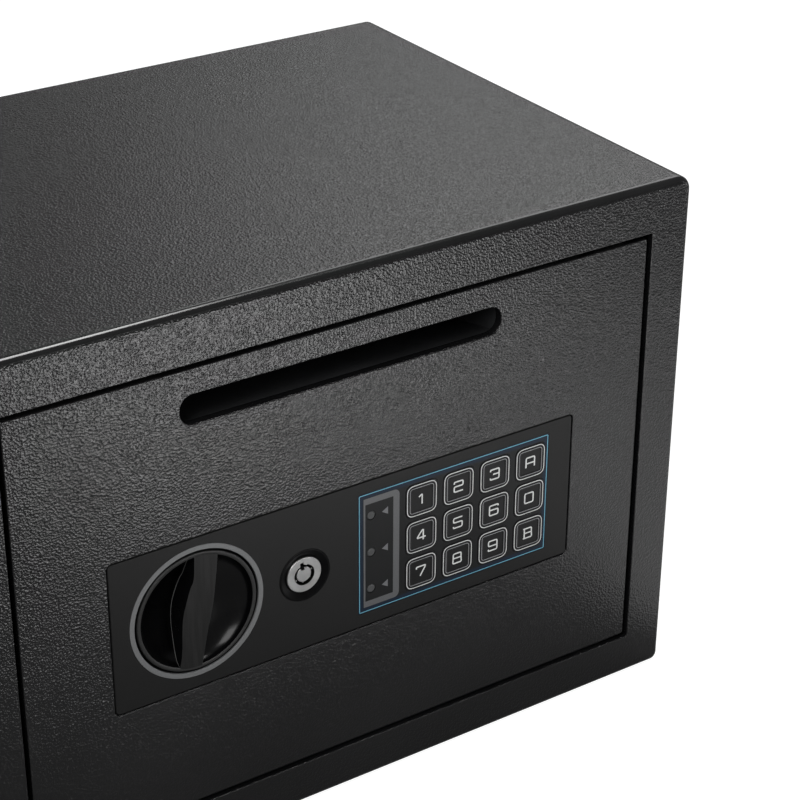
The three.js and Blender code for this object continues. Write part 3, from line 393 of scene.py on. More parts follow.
class Finish:
    """A node material for one of the safe's finishes."""

    def __init__(self, name, **constants):
        self.material = bpy.data.materials.new(name)
        self.material.use_nodes = True
        self.tree = self.material.node_tree
        self.shader = self.tree.nodes["Principled BSDF"]
        for socket, value in constants.items():
            self.shader.inputs[socket.replace("_", " ")].default_value = value
        self.place = self.node("ShaderNodeTexCoord", {}, {}, "Object")

    def plug(self, socket, value):
        if isinstance(value, Wire):
            self.tree.links.new(value.socket, socket)
        else:
            socket.default_value = value

    def node(self, kind, settings, inputs, output=0):
        node = self.tree.nodes.new(kind)
        for key, value in settings.items():
            setattr(node, key, value)
        for key, value in inputs.items():
            self.plug(node.inputs[key], value)
        return Wire(self.tree, node.outputs[output])

    def noise(self, scale, detail=3.0, rough=0.5, twist=0.0, where=None):
        inputs = {"Scale": scale, "Detail": detail, "Roughness": rough, "Distortion": twist}
        inputs["Vector"] = where or self.place
        return self.node("ShaderNodeTexNoise", {}, inputs)

    def cells(self, scale, soft):
        settings = {"feature": "SMOOTH_F1"}
        inputs = {"Scale": scale, "Smoothness": soft, "Vector": self.place}
        return self.node("ShaderNodeTexVoronoi", settings, inputs, "Distance")

    def stretched(self, x, y, z):
        """Object coordinates drawn out unevenly, for brushed and turned marks."""
        return self.node("ShaderNodeMapping", {}, {"Vector": self.place, "Scale": (x, y, z)})

    def axis(self, index):
        return self.node("ShaderNodeSeparateXYZ", {}, {"Vector": self.place}, index)

    def blend(self, share, low, high):
        node = self.tree.nodes.new("ShaderNodeMix")
        node.data_type = "RGBA"
        self.plug(node.inputs[0], share)
        self.plug(node.inputs[6], low)
        self.plug(node.inputs[7], high)
        return Wire(self.tree, node.outputs[2])

    def bump(self, height, depth):
        inputs = {"Height": height, "Distance": depth * MM, "Strength": 1.0}
        self.plug(self.shader.inputs["Normal"], self.node("ShaderNodeBump", {}, inputs))

    def use(self, **values):
        for socket, value in values.items():
            self.plug(self.shader.inputs[socket.replace("_", " ")], value)
        return self.material


def grey(level):
    return (level, level, level, 1)


def tone(r, g, b):
    """A colour written as it looks on screen, 0 to 255."""
    def linear(value):
        share = value / 255
        return share / 12.92 if share <= 0.04045 else ((share + 0.055) / 1.055) ** 2.4
    return (linear(r), linear(g), linear(b), 1)


# The finishes


def textured_paint(name, smooth_above=None):
    """Powder coat: small round pebbles over a slow drift of colour. It can run smooth above a height."""
    paint = Finish(name)
    pebbles = paint.cells(scale=1050, soft=0.6)
    fine = paint.noise(scale=2000, detail=2, rough=0.6)
    slow = paint.noise(scale=420, detail=2, rough=0.5)
    height = pebbles + fine * 0.4 + slow * 0.3
    if smooth_above:
        fade = 1.5
        height = height * (1 - (paint.axis(2) / MM).ramp(smooth_above - fade, smooth_above))
    paint.bump(height, depth=0.231)
    worn = paint.noise(scale=14, detail=4, rough=0.55)
    return paint.use(
        Base_Color=paint.blend(worn.ramp(low=0.35, high=0.7), tone(16, 16, 17), tone(22, 22, 23)),
        Roughness=0.19 + 0.10 * (paint.noise(scale=90, detail=3) - 0.5) + 0.05 * (worn - 0.5),
    )


def plain_paint():
    """Thin satin paint on the inner steelwork."""
    paint = Finish("inner_paint")
    paint.bump(paint.noise(scale=700, detail=3, rough=0.6), depth=0.05)
    dusty = paint.noise(scale=22, detail=5, rough=0.6)
    return paint.use(
        Base_Color=paint.blend(dusty.ramp(low=0.35, high=0.75), tone(50, 51, 52), tone(66, 67, 69)),
        Roughness=0.5 + 0.15 * (dusty - 0.5),
    )


def moulded_panel():
    """Matte moulded plastic with a very fine spark-eroded grain."""
    plastic = Finish("panel_plastic", IOR=1.46, Specular_IOR_Level=0.3)
    grain = plastic.noise(scale=3200, detail=2, rough=0.6)
    plastic.bump(grain + 0.5 * plastic.noise(scale=900, detail=2), depth=0.03)
    drift = plastic.noise(scale=9, detail=3)
    return plastic.use(
        Base_Color=plastic.blend(drift.ramp(low=0.3, high=0.75), tone(16, 16, 16), tone(21, 21, 21)),
        Roughness=0.5 + 0.08 * (grain - 0.5),
    )


def gloss_black(name, rough=0.2, shine=0.28, painted_foot_highlight=False):
    """Polished black plastic with faint finger smears.

    The grip's sides have a painted highlight: a fine pale line where they meet the dish, standing for the
    light caught by the small fillet there.
    """
    plastic = Finish(name, IOR=1.5, Specular_IOR_Level=shine)
    smear = plastic.noise(scale=60, detail=4, rough=0.6, twist=0.6)
    streak = plastic.noise(scale=9, detail=5, rough=0.7, twist=0.2, where=plastic.stretched(60, 1, 1))
    plastic.bump(plastic.noise(scale=240, detail=2, rough=0.5), depth=0.008)
    colour = plastic.blend(streak.ramp(low=0.45, high=0.75), tone(5, 5, 6), tone(11, 11, 12))
    if painted_foot_highlight:
        x, z = centre_of("knob_ring")
        across = plastic.axis(0) / MM - x
        along = plastic.axis(2) / MM - z
        depth = plastic.axis(1) / MM - FRONT - cad_box("knob_dial")[2]
        away = (across * across + along * along) / BOWL_RADIUS ** 2
        above = BOWL_DEPTH * (1 - away).most(0) ** 0.5 - depth
        # painted highlight: a pale line on the grip's sides just above where they meet the dish
        colour = plastic.blend(1 - above.ramp(low=0.2, high=0.5), colour, tone(150, 150, 149))
    return plastic.use(
        Base_Color=colour,
        Roughness=rough + 0.10 * smear.ramp(low=0.45, high=0.75),
    )


def bar_plastic():
    """The grip's worn top: the same black plastic, dulled by hands, with pale streaks along it that are
    partly wear marks and partly painted highlight lines.
    """
    plastic = Finish("grip_plastic", IOR=1.5, Specular_IOR_Level=0.25)
    streak = plastic.noise(scale=14, detail=6, rough=0.7, twist=0.3, where=plastic.stretched(40, 6, 2))
    spots = plastic.noise(scale=420, detail=2, rough=0.5)
    plastic.bump(streak * 0.6 + spots * 0.3, depth=0.03)
    return plastic.use(
        # the pale streaks in the colour are partly painted highlight lines along the grip
        Base_Color=plastic.blend(streak.ramp(low=0.35, high=0.7), tone(16, 16, 16), tone(34, 34, 34)),
        Roughness=0.42 + 0.16 * (streak - 0.5),
    )


def steel(name, low, high, rough):
    """Bright or plated steel with fine tool marks."""
    metal = Finish(name, Metallic=1.0)
    marks = metal.noise(scale=900, detail=4, rough=0.65)
    cloud = metal.noise(scale=70, detail=3)
    metal.bump(marks, depth=0.012)
    return metal.use(
        Base_Color=metal.blend(cloud.ramp(low=0.3, high=0.7), low, high),
        Roughness=rough + 0.18 * (marks - 0.5) + 0.08 * (cloud - 0.5),
    )


def ink(name, colour, rough=0.45):
    """Printed ink, a little uneven where the screen's mesh shows."""
    layer = Finish(name)
    mottle = layer.noise(scale=1500, detail=2, rough=0.5)
    low = tuple(value * 0.9 for value in colour[:3]) + (1,)
    return layer.use(
        Base_Color=layer.blend(mottle.ramp(low=0.3, high=0.7), low, colour),
        Roughness=rough + 0.1 * (mottle - 0.5),
    )


def film_surface():
    """The keypad's film: black, with a soft navy band just inside its edge."""
    film = Finish("overlay_film", IOR=1.46, Specular_IOR_Level=0.25)
    x0, x1, _, _, z0, z1 = cad_box("keypad_overlay")
    across = film.axis(0)
    up = film.axis(2)
    sides = (across - x0 * MM).least(x1 * MM - across)
    ends = (up - z0 * MM).least(z1 * MM - up)
    inward = sides.least(ends)
    band = inward.ramp(1.6 * MM, 3.4 * MM)
    grain = film.noise(scale=2600, detail=2, rough=0.6)
    film.bump(grain, depth=0.02)
    drift = film.noise(scale=40, detail=3)
    inner = film.blend(drift.ramp(low=0.3, high=0.7), tone(18, 19, 20), tone(23, 24, 25))
    return film.use(
        Base_Color=film.blend(band, tone(16, 33, 52), inner),
        Roughness=0.4 + 0.08 * (grain - 0.5),
    )


def key_surface():
    """The keys' film, a little duller than the film around them."""
    film = Finish("key_film", IOR=1.46, Specular_IOR_Level=0.25)
    grain = film.noise(scale=2200, detail=2, rough=0.6)
    film.bump(grain + 0.4 * film.noise(scale=500, detail=2), depth=0.025)
    drift = film.noise(scale=60, detail=3)
    return film.use(
        Base_Color=film.blend(drift.ramp(low=0.3, high=0.7), tone(18, 18, 19), tone(26, 26, 27)),
        Roughness=0.42 + 0.1 * (grain - 0.5),
    )


def soft_plastic(name, low, high, rough, grain_scale=1200):
    """Moulded plastic, lacquer or tape with an even grain."""
    plastic = Finish(name)
    grain = plastic.noise(scale=grain_scale, detail=3, rough=0.6)
    plastic.bump(grain, depth=0.03)
    return plastic.use(
        Base_Color=plastic.blend(plastic.noise(scale=35, detail=3).ramp(low=0.3, high=0.7), low, high),
        Roughness=rough + 0.12 * (grain - 0.5),
    )


def felt_surface():
    """Grey felt: short hairs in soft clumps."""
    felt = Finish("mat_felt", Sheen_Weight=0.4, Sheen_Roughness=0.6)
    hairs = felt.noise(scale=1700, detail=5, rough=0.75, twist=1.2)
    clumps = felt.noise(scale=150, detail=4, rough=0.6)
    felt.bump(hairs * 0.8 + clumps * 0.4, depth=0.35)
    return felt.use(
        Base_Color=felt.blend(hairs.ramp(low=0.3, high=0.75), tone(46, 49, 53), tone(84, 88, 93)),
        Roughness=0.92 + 0.06 * (clumps - 0.5),
    )


def cell_surface():
    """A plain printed sleeve with a bright band at one end."""
    sleeve = Finish("cell_wrap")
    band = sleeve.axis(2).ramp(127.5 * MM, 128.5 * MM)
    scuff = sleeve.noise(scale=300, detail=4, rough=0.6)
    sleeve.bump(scuff, depth=0.015)
    return sleeve.use(
        Base_Color=sleeve.blend(band, tone(38, 92, 74), tone(176, 148, 78)),
        Roughness=0.3 + 0.2 * (scuff - 0.5),
        Metallic=band * 0.6,
    )


BODY_PAINT = textured_paint("textured_black_paint")
FRAME_PAINT = textured_paint("front_frame_paint", smooth_above=cad_box("front_frame")[5] - 2.2)
INNER_PAINT = plain_paint()
PANEL = moulded_panel()
GLOSS = gloss_black("gloss_black_plastic")
# the grip's sides carry a painted highlight where they meet the dish
GRIP_SIDE = gloss_black("grip_side_plastic", painted_foot_highlight=True)
BEZEL = gloss_black("lock_bezel_plastic", 0.3, 0.1)
GRIP = bar_plastic()
SATIN_BLACK = soft_plastic("satin_black_plastic", tone(18, 18, 18), tone(25, 25, 25), 0.4)
RING = ink("grey_ring", tone(118, 119, 120), 0.5)
BRIGHT = steel("bright_steel", tone(164, 164, 164), tone(186, 186, 185), 0.36)
# a darker steel that paints shade into the lock's bore and the deeper parts of its core
PAINTED_SHADE_STEEL = steel("painted_shade_steel", tone(46, 45, 43), tone(66, 64, 60), 0.5)
ZINC = steel("zinc_steel", tone(150, 154, 156), tone(182, 184, 182), 0.4)
BRASS = steel("brass", tone(164, 128, 62), tone(190, 154, 84), 0.35)
FILM = film_surface()
KEY = key_surface()
WHITE_INK = ink("white_ink", tone(226, 227, 226))
GREY_INK = ink("grey_ink", tone(112, 113, 116))
DIM_INK = ink("dim_ink", tone(94, 95, 97))
PALE_INK = ink("pale_ink", tone(156, 157, 159))
CYAN_INK = ink("cyan_ink", tone(104, 172, 196))
LENS = soft_plastic("led_lens", tone(62, 63, 64), tone(78, 79, 80), 0.3)
BOARD = soft_plastic("circuit_board", tone(24, 78, 46), tone(34, 98, 60), 0.4, 700)
COIL = soft_plastic("coil_tape", tone(158, 112, 26), tone(186, 138, 44), 0.45, 500)
TRAY = soft_plastic("tray_plastic", tone(24, 25, 26), tone(34, 35, 36), 0.48)
FELT = felt_surface()
RED = soft_plastic("reset_red", tone(168, 30, 24), tone(190, 44, 34), 0.35)
LEAD = soft_plastic("lead_red", tone(140, 26, 22), tone(164, 38, 30), 0.4)
CELL = cell_surface()


def finish(piece, material, body, slot, *nodes):
    piece.data.materials.clear()
    piece.data.materials.append(material)
    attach(piece, body)
    if nodes:
        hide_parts(*nodes)
    return piece


def second_finish(piece, material, rule):
    """Gives another finish to the faces whose centre and normal pass the rule."""
    piece.data.materials.append(material)
    for face in piece.data.polygons:
        x, y, z = face.center / MM
        if rule((x, y - FRONT, z), face.normal):
            face.material_index = 1
    return piece


def dress(node, material):
    """A CAD node that stays as it is, with its finish."""
    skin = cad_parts[node].data.materials
    skin.clear()
    skin.append(material)


# The cabinet


def shell_block(name, x0, x1, d0, d1, z0, z1):
    """A slab with the cabinet's outline: the upper corners are rounder than the lower ones."""
    middle = (z0 + z1) / 2
    block = slab(name, x0, x1, d0, d1, z0, z1)
    round_edges(block, lambda a, b: along_depth(a, b) and a[2] > middle, radius=UPPER_CORNER, steps=14)
    return round_edges(block, lambda a, b: along_depth(a, b) and a[2] < middle, radius=LOWER_CORNER, steps=10)


def cabinet_tube():
    x0, x1, d0, d1, z0, z1 = cad_box("cabinet_shell")
    tube = shell_block("cabinet_tube", x0, x1, d0, d1, z0, z1)
    inner_corner = 4
    hollow = pad(
        "hollow", x0 + SHEET, x1 - SHEET, d0 - PAST, d1 + PAST, z0 + SHEET, z1 - SHEET, inner_corner, 6,
    )
    holes = [bar_z("hole", -PAST, SHEET + PAST, x, ANCHOR_DEPTH, ANCHOR_RADIUS) for x in ANCHOR_ROW]
    cut(tube, hollow, *holes)
    return finish(smooth(tube, angle=30), BODY_PAINT, "cabinet", "textured_black_paint", "cabinet_shell")


def rear_plate():
    x0, x1, d0, d1, z0, z1 = cad_box("back_plate")
    plate = shell_block("rear_plate", x0, x1, d0, d1, z0, z1)
    cut(plate, *[drum("hole", x, ANCHOR_HEIGHT, ANCHOR_RADIUS, d0 - PAST, d1 + PAST, 64) for x in ANCHOR_ROW])
    soften(plate, width=0.45, steps=3)
    return finish(plate, BODY_PAINT, "cabinet", "textured_black_paint", "back_plate")


def front_frame():
    x0, x1, d0, d1, z0, z1 = cad_box("front_frame")
    plate = shell_block("door_frame", x0, x1, d0, d1, z0, z1)
    round_edges(plate, lies_at(d0), radius=2.6, steps=8)
    top = z1 - TOP_BORDER
    left, right, low = x0 + BORDER, x1 - BORDER, z0 + BORDER
    cut(plate, pad("doorway", left, right, d0 - PAST, d1 + PAST, low, top, radius=0.8, steps=4))
    margin = 0.5
    side = right + margin

    def rim(a, b):
        inside = all(abs(p[0]) < side and low - margin < p[2] < top + margin for p in (a, b))
        return inside and lies_at(d0)(a, b)

    round_edges(plate, rim, radius=0.45, steps=3)
    return finish(smooth(plate), FRAME_PAINT, "cabinet", "textured_black_paint", "front_frame")


# The door


def door_skin():
    x0, x1, d0, d1, z0, z1 = cad_box("door_plate")
    plate = pad("door_skin", x0, x1, d0, d1, z0, z1, radius=0.9, steps=4)
    round_edges(plate, lies_at(d0), radius=0.5, steps=4)
    slot_cut = pad(
        "slot_cut", SLOT["x0"], SLOT["x1"], d0 - PAST, d1 + PAST, SLOT["z0"], SLOT["z1"], SLOT["radius"], 14,
    )
    px0, px1, _, _, pz0, pz1 = cad_box("control_panel")
    gap = 0.35
    window = pad(
        "window", px0 - gap, px1 + gap, d0 - PAST, d1 + PAST, pz0 - gap, pz1 + gap, radius=2.5, steps=8,
    )
    cut(plate, slot_cut, window)
    margin = 5

    def opening(a, b):
        inside = all(
            x0 + margin < p[0] < x1 - margin and z0 + margin < p[2] < z1 - margin for p in (a, b)
        )
        return inside and lies_at(d0)(a, b)

    round_edges(plate, opening, radius=0.5, steps=4)
    return finish(smooth(plate), BODY_PAINT, "door", "textured_black_paint", "door_plate")


def panel_face():
    x0, x1, d0, d1, z0, z1 = cad_box("control_panel")
    plate = pad("panel_face", x0, x1, d0, d1, z0, z1, radius=2.2, steps=8)
    round_edges(plate, lies_at(d0), radius=0.55, steps=4)
    kx, kz = centre_of("knob_ring")
    lx, lz = centre_of("lock_housing")
    ox0, ox1, _, _, oz0, oz1 = cad_box("keypad_overlay")
    well_radius, well_floor = 28.6, 14.9
    spindle_radius, spindle_front = 4.3, 10
    ring_radius, ring_sink = 31.05, 0.9
    bezel_radius, bezel_sink = 12.35, 1.9
    film_gap, film_sink = 0.15, 0.8
    keys_left, keys_floor, keys_side, keys_end = 24, 3.9, 0.6, 1.5
    hollow_from = 15
    film_seat = pad(
        "film_seat", ox0 - film_gap, ox1 + film_gap, d0 - PAST, d0 + film_sink,
        oz0 - film_gap, oz1 + film_gap, radius=0.6, steps=4,
    )
    key_room = pad(
        "key_room", keys_left, ox1 - keys_side, d0 - PAST, keys_floor,
        oz0 + keys_end, oz1 - keys_end, radius=2, steps=4,
    )
    cut(
        plate,
        drum("well", kx, kz, well_radius, d0 - PAST, well_floor, 128),
        drum("spindle_hole", kx, kz, spindle_radius, spindle_front, d1 + PAST, 48),
        drum("ring_seat", kx, kz, ring_radius, d0 - PAST, d0 + ring_sink, 128),
        drum("lock_hole", lx, lz, LOCK_BORE, d0 - PAST, d1 + PAST, 96),
        drum("bezel_seat", lx, lz, bezel_radius, d0 - PAST, d0 + bezel_sink, 96),
        film_seat,
        key_room,
        slab("behind", x0 + SHEET, x1 - SHEET, hollow_from, d1 + PAST, z0 + SHEET, z1 - SHEET),
    )
    return finish(smooth(plate, angle=30), PANEL, "door", "panel_plastic", "control_panel")


def ring_trim():
    x, z = centre_of("knob_ring")
    _, _, d0, d1, _, _ = cad_box("knob_ring")
    inner, outer = 28.75, 30.9
    ring = cut(
        drum("ring_trim", x, z, outer, d0, d1, 128), drum("bore", x, z, inner, d0 - PAST, d1 + PAST, 128),
    )
    soften(ring, width=0.15, steps=2)
    return finish(ring, RING, "door", "grey_ring", "knob_ring")


# The knob: a dish pressed in by rings of its front cap, and a grip across it


def knob_dish():
    x, z = centre_of("knob_ring")
    _, _, d0, d1, _, _ = cad_box("knob_dial")
    rim = 1.8
    flat = 0.9
    lip_width, lip = 0.45, 0.15
    dish = drum("knob_dish", x, z, BOWL_RADIUS + rim, d0, d1, 128)
    round_edges(dish, lies_at(d0), radius=0.45, steps=4)
    pick_faces(dish, lambda centre, normal: normal.y < -0.99)
    bpy.ops.mesh.inset(thickness=(rim - flat) * MM, depth=0)
    bpy.ops.mesh.inset(thickness=lip_width * MM, depth=-lip * MM)
    middle = at(x, 0, z)
    steps = 22
    at_radius = BOWL_RADIUS
    at_depth = lip
    for i in range(1, steps + 1):
        angle = i / (steps + 0.25) * math.pi / 2
        next_radius = BOWL_RADIUS * math.cos(angle)
        next_depth = max(BOWL_DEPTH * math.sin(angle), at_depth)
        step = (0, (next_depth - at_depth) * MM, 0)
        bpy.ops.mesh.extrude_region_move(TRANSFORM_OT_translate={"value": step})
        share = next_radius / at_radius
        bpy.ops.transform.resize(value=(share, 1, share), center_override=middle)
        at_radius = next_radius
        at_depth = next_depth
    bpy.ops.object.mode_set(mode="OBJECT")
    finish(smooth(dish, angle=50), GLOSS, "knob", "gloss_black_plastic", "knob_dial")

    def on_rim(centre, normal):
        return math.hypot(centre[0] - x, centre[2] - z) > BOWL_RADIUS + 0.1

    return second_finish(dish, SATIN_BLACK, on_rim)


# The grip's height along the knob, and its left and right side there

GRIP_SHAPE = [
    (-27.5, -5.1, 5.2), (-26.4, -5.2, 5.3), (-21, -5.0, 5.5), (-16.3, -5.2, 5.7), (-9.3, -6.0, 6.0),
    (-6, -6.3, 6.3), (-2.4, -6.45, 6.6), (1, -6.3, 6.9), (4.3, -5.85, 7.0), (7.5, -5.35, 7.0),
    (10.2, -4.9, 6.95), (12.2, -4.4, 6.9), (13.6, -3.8, 6.85), (15.6, -3.65, 6.75), (18, -3.7, 6.7),
    (22, -4.1, 6.5), (26.4, -4.6, 6.3), (27.5, -4.7, 6.2),
]


def knob_grip():
    """Drawn out from its lower end to its upper end, and turned with the knob."""
    x, z = centre_of("knob_ring")
    _, _, d0, _, _, _ = cad_box("knob_dial")
    foot = d0 + BOWL_DEPTH + 0.4
    low, left, right = GRIP_SHAPE[0]
    grip = slab("knob_grip", x + left, x + right, d0, foot, z + low - 1, z + low)
    pick_faces(grip, lambda centre, normal: normal.z > 0.99)
    for along, new_left, new_right in GRIP_SHAPE[1:]:
        step = ((new_left + new_right - left - right) / 2 * MM, 0, (along - low) * MM)
        bpy.ops.mesh.extrude_region_move(TRANSFORM_OT_translate={"value": step})
        share = (new_right - new_left) / (right - left)
        middle = at(x + (new_left + new_right) / 2, 0, z + along)
        bpy.ops.transform.resize(value=(share, 1, 1), center_override=middle)
        low, left, right = along, new_left, new_right
    bpy.ops.object.mode_set(mode="OBJECT")
    reach = BOWL_RADIUS + 0.7
    apply_boolean(grip, drum("limit", x, z, reach, d0 - PAST, foot + PAST, 128), "INTERSECT")
    turn_about(grip, x, z, GRIP_LEAN)
    soften(grip, width=0.7, steps=4, angle=50)
    finish(grip, GRIP, "knob", "gloss_black_plastic")
    return second_finish(grip, GRIP_SIDE, lambda centre, normal: normal.y > -0.3)


# The key lock


def lock_surround():
    x, z = centre_of("lock_housing")
    _, _, d0, d1, _, _ = cad_box("lock_bezel")
    outer, flat = 12.2, 0.8
    slope_width, slope_depth = 2.7, 1.3
    ring = drum("lock_surround", x, z, outer, d0, d1, 128)
    pick_faces(ring, lambda centre, normal: normal.y < -0.99)
    bpy.ops.mesh.inset(thickness=flat * MM, depth=0)
    bpy.ops.mesh.inset(thickness=slope_width * MM, depth=-slope_depth * MM)
    bpy.ops.object.mode_set(mode="OBJECT")
    cut(ring, drum("bore", x, z, LOCK_BORE, d0 - PAST, d1 + PAST, 128))
    soften(ring, width=0.2, steps=3, angle=24)
    return finish(ring, BEZEL, "door", "gloss_black_plastic", "lock_bezel")


def lock_face():
    x, z = centre_of("lock_housing")
    _, _, d0, d1, _, _ = cad_box("lock_housing")
    face_radius, bore_radius = 8.4, 4.9
    body = drum("lock_face", x, z, face_radius, d0, d1, 128)
    round_edges(body, lies_at(d0), radius=0.5, steps=4)
    half = KEY_SLOT_HALF
    notch_depth, notch_low, notch_high = 6.5, 3.6, 6.2
    notch = slab("notch", x - half, x + half, d0 - PAST, d0 + notch_depth, z + notch_low, z + notch_high)
    turn_about(notch, x, z, KEY_SLOT_LEAN)
    cut(body, drum("groove", x, z, bore_radius, d0 - PAST, d1 + PAST, 96), notch)
    finish(smooth(body), BRIGHT, "door", "bright_steel", "lock_housing")

    # painted shade: the faces inside the bore take the darker steel
    def in_bore(centre, normal):
        across, up = centre[0] - x, centre[2] - z
        inward = normal.x * across + normal.z * up < 0
        return math.hypot(across, up) < notch_high + 0.2 and inward and centre[1] > d0 + 0.3

    return second_finish(body, PAINTED_SHADE_STEEL, in_bore)


def lock_core():
    x, z = centre_of("lock_housing")
    _, _, d0, d1, _, _ = cad_box("lock_plug")
    half = KEY_SLOT_HALF
    groove_floor = d0 + 6.2
    post_radius, core_radius, tail_radius, tail_front = 3.6, 4.6, 2.6, 25.3
    post = drum("lock_core", x, z, post_radius, d0, d0 + 8, 96)
    round_edges(post, lies_at(d0), radius=0.35, steps=4)
    slot = slab("slot", x - half, x + half, d0 - PAST, groove_floor, z + 2.3, z + 6)
    turn_about(slot, x, z, KEY_SLOT_LEAN)
    cut(post, slot)
    smooth(post)
    core = smooth(drum("core", x, z, core_radius, groove_floor, tail_front + 0.1, 96))
    tail = smooth(drum("tail", x, z, tail_radius, tail_front, d1, 48))
    pin_count, pin_circle, pin_radius = 7, 4.25, 0.45
    pin_front = d0 + 0.9
    pins = []
    for i in range(pin_count):
        angle = (i + 0.5) / pin_count * 2 * math.pi
        px, pz = x + pin_circle * math.sin(angle), z + pin_circle * math.cos(angle)
        pin = drum("pin", px, pz, pin_radius, pin_front, groove_floor + 0.2, 20)
        round_edges(pin, lies_at(pin_front), radius=0.2, steps=3)
        pins.append(smooth(pin, angle=50))
    join(post, core, tail, *pins)
    finish(post, BRIGHT, "lock_plug", "bright_steel", "lock_plug")
    # painted shade: the core behind its front 3.2 mm takes the darker steel
    return second_finish(post, PAINTED_SHADE_STEEL, lambda centre, normal: centre[1] > d0 + 3.2)


# The keypad: film, printed frame, lamps and keys


def keypad_film():
    x0, x1, d0, d1, z0, z1 = cad_box("keypad_overlay")
    film = pad("keypad_film", x0, x1, d0, d1, z0, z1, radius=0.6, steps=4)
    gap = 0.25
    for name in KEY_NAMES:
        kx0, kx1, _, _, kz0, kz1 = cad_box(name)
        hole = pad(
            "hole", kx0 - gap, kx1 + gap, d0 - PAST, d1 + PAST, kz0 - gap, kz1 + gap, radius=3.45, steps=8,
        )
        cut(film, hole)
    lx, rows = led_places()
    lens_hole = LENS_RADIUS + 0.15
    cut(film, *[drum("hole", lx, z, lens_hole, d0 - PAST, d1 + PAST, 48) for z in rows])
    return finish(smooth(film, angle=30), FILM, "door", "overlay_film", "keypad_overlay")


def led_places():
    """The lamps' x, and their heights, which are those of the rows of keys."""
    x, _ = centre_of("status_lenses")
    return x, sorted({round(centre_of(name)[1], 3) for name in KEY_NAMES})


def film_prints():
    """The cyan outline of the keypad, the grey frame around the lamps, and an arrow beside each lamp."""
    x0, x1, d0, _, z0, z1 = cad_box("keypad_overlay")
    mid_x, mid_z = centre_of("keypad_overlay")
    margin = 0.55
    path = square_path((x1 - x0) / 2 - margin, (z1 - z0) / 2 - margin, 0.5)
    proud, sunk = 0.04, 0.2
    outline = printed("keypad_outline", [path], INK_WIDTH, mid_x, mid_z, d0, closed=True, proud=proud)
    finish(outline, CYAN_INK, "door", "overlay_film")

    left, right, end = 5.9, 24, 2.6
    inner_left, inner_right, inner_end = 6.75, 20.9, 5.5
    bar = slab("lamp_frame", left, right, d0 - proud, d0 + sunk, z0 + end, z1 - end)
    round_edges(bar, lambda a, b: along_depth(a, b) and a[0] > inner_right, radius=2.6, steps=6)
    cut(bar, slab("inside", inner_left, inner_right, d0 - PAST, d0 + PAST, z0 + inner_end, z1 - inner_end))
    finish(smooth(bar, angle=30), DIM_INK, "door", "overlay_film")

    _, rows = led_places()
    tip, back, half = 15.2, 18.2, 1.8
    arrows = []
    for z in rows:
        arrow = slab("arrow", tip, back, d0 - proud, d0 + sunk, z - half, z + half)
        pick_edges(arrow, lambda a, b: along_depth(a, b) and a[0] < tip + 0.1)
        bpy.ops.mesh.select_mode(type="VERT")
        bpy.ops.transform.resize(value=(1, 1, 0.02), center_override=at(tip, 0, z))
        bpy.ops.object.mode_set(mode="OBJECT")
        arrows.append(arrow)
    arrow = join(*arrows)
    arrow.name = "lamp_arrows"
    finish(arrow, GREY_INK, "door", "overlay_film")


def lamp_lenses():
    lx, rows = led_places()
    x0, x1, d0, d1, z0, z1 = cad_box("status_lenses")
    strip_front = 3.1
    strip = slab("lamp_lenses", x0, x1, strip_front, d1, z0, z1)
    lenses = []
    for z in rows:
        lens = drum("lens", lx, z, LENS_RADIUS, d0, strip_front + 0.3, 48)
        lenses.append(round_edges(lens, lies_at(d0), radius=0.5, steps=4))
    join(strip, *lenses)
    return finish(smooth(strip, angle=50), LENS, "door", "led_lens", "status_lenses")


KEY_NAMES = ["key_%s" % mark for mark in "0123456789ab"]
KEY_DISH = 0.18

# The strokes of each figure, from -1 to 1 across and up

GLYPHS = {
    "0": [[(-1, 1), (1, 1), (1, -1), (-1, -1), (-1, 0.2), (-1, 1), (-0.2, 1)]],
    "1": [[(-0.6, 0.5), (0.1, 1), (0.1, -1)]],
    "2": [[(-1, 0.6), (-1, 1), (1, 1), (1, 0.05), (-1, 0.05), (-1, -1), (1, -1)]],
    "3": [[(-1, 0.65), (-1, 1), (1, 1), (1, -1), (-1, -1), (-1, -0.65)], [(-0.4, 0.02), (1, 0.02)]],
    "4": [[(0.45, -1), (0.45, 1), (0.2, 1), (-1, -0.45), (1, -0.45)]],
    "5": [[(1, 1), (-1, 1), (-1, 0.1), (1, 0.1), (1, -1), (-1, -1), (-1, -0.65)]],
    "6": [[(1, 0.65), (1, 1), (-1, 1), (-1, -1), (1, -1), (1, 0.08), (-1, 0.08)]],
    "7": [[(-1, 0.6), (-1, 1), (1, 1), (1, 0.75), (-0.15, -1)]],
    "8": [
        [(0, 1), (0.9, 1), (0.9, 0.05), (1, -1), (-1, -1), (-0.9, 0.05), (-0.9, 1), (0, 1)],
        [(-0.9, 0.05), (0.9, 0.05)],
    ],
    "9": [[(1, -0.05), (-1, -0.05), (-1, 1), (1, 1), (1, -1), (-1, -1), (-1, -0.65)]],
    "a": [[(-1, -1), (-1, 1), (1, 1), (1, -1)], [(-1, -0.15), (1, -0.15)]],
    "b": [
        [(-0.8, 1), (-0.8, -1)],
        [(-1.1, 1), (0.9, 1), (0.9, 0.05), (1, -1), (-1.1, -1)],
        [(-0.8, 0.05), (0.9, 0.05)],
    ],
}


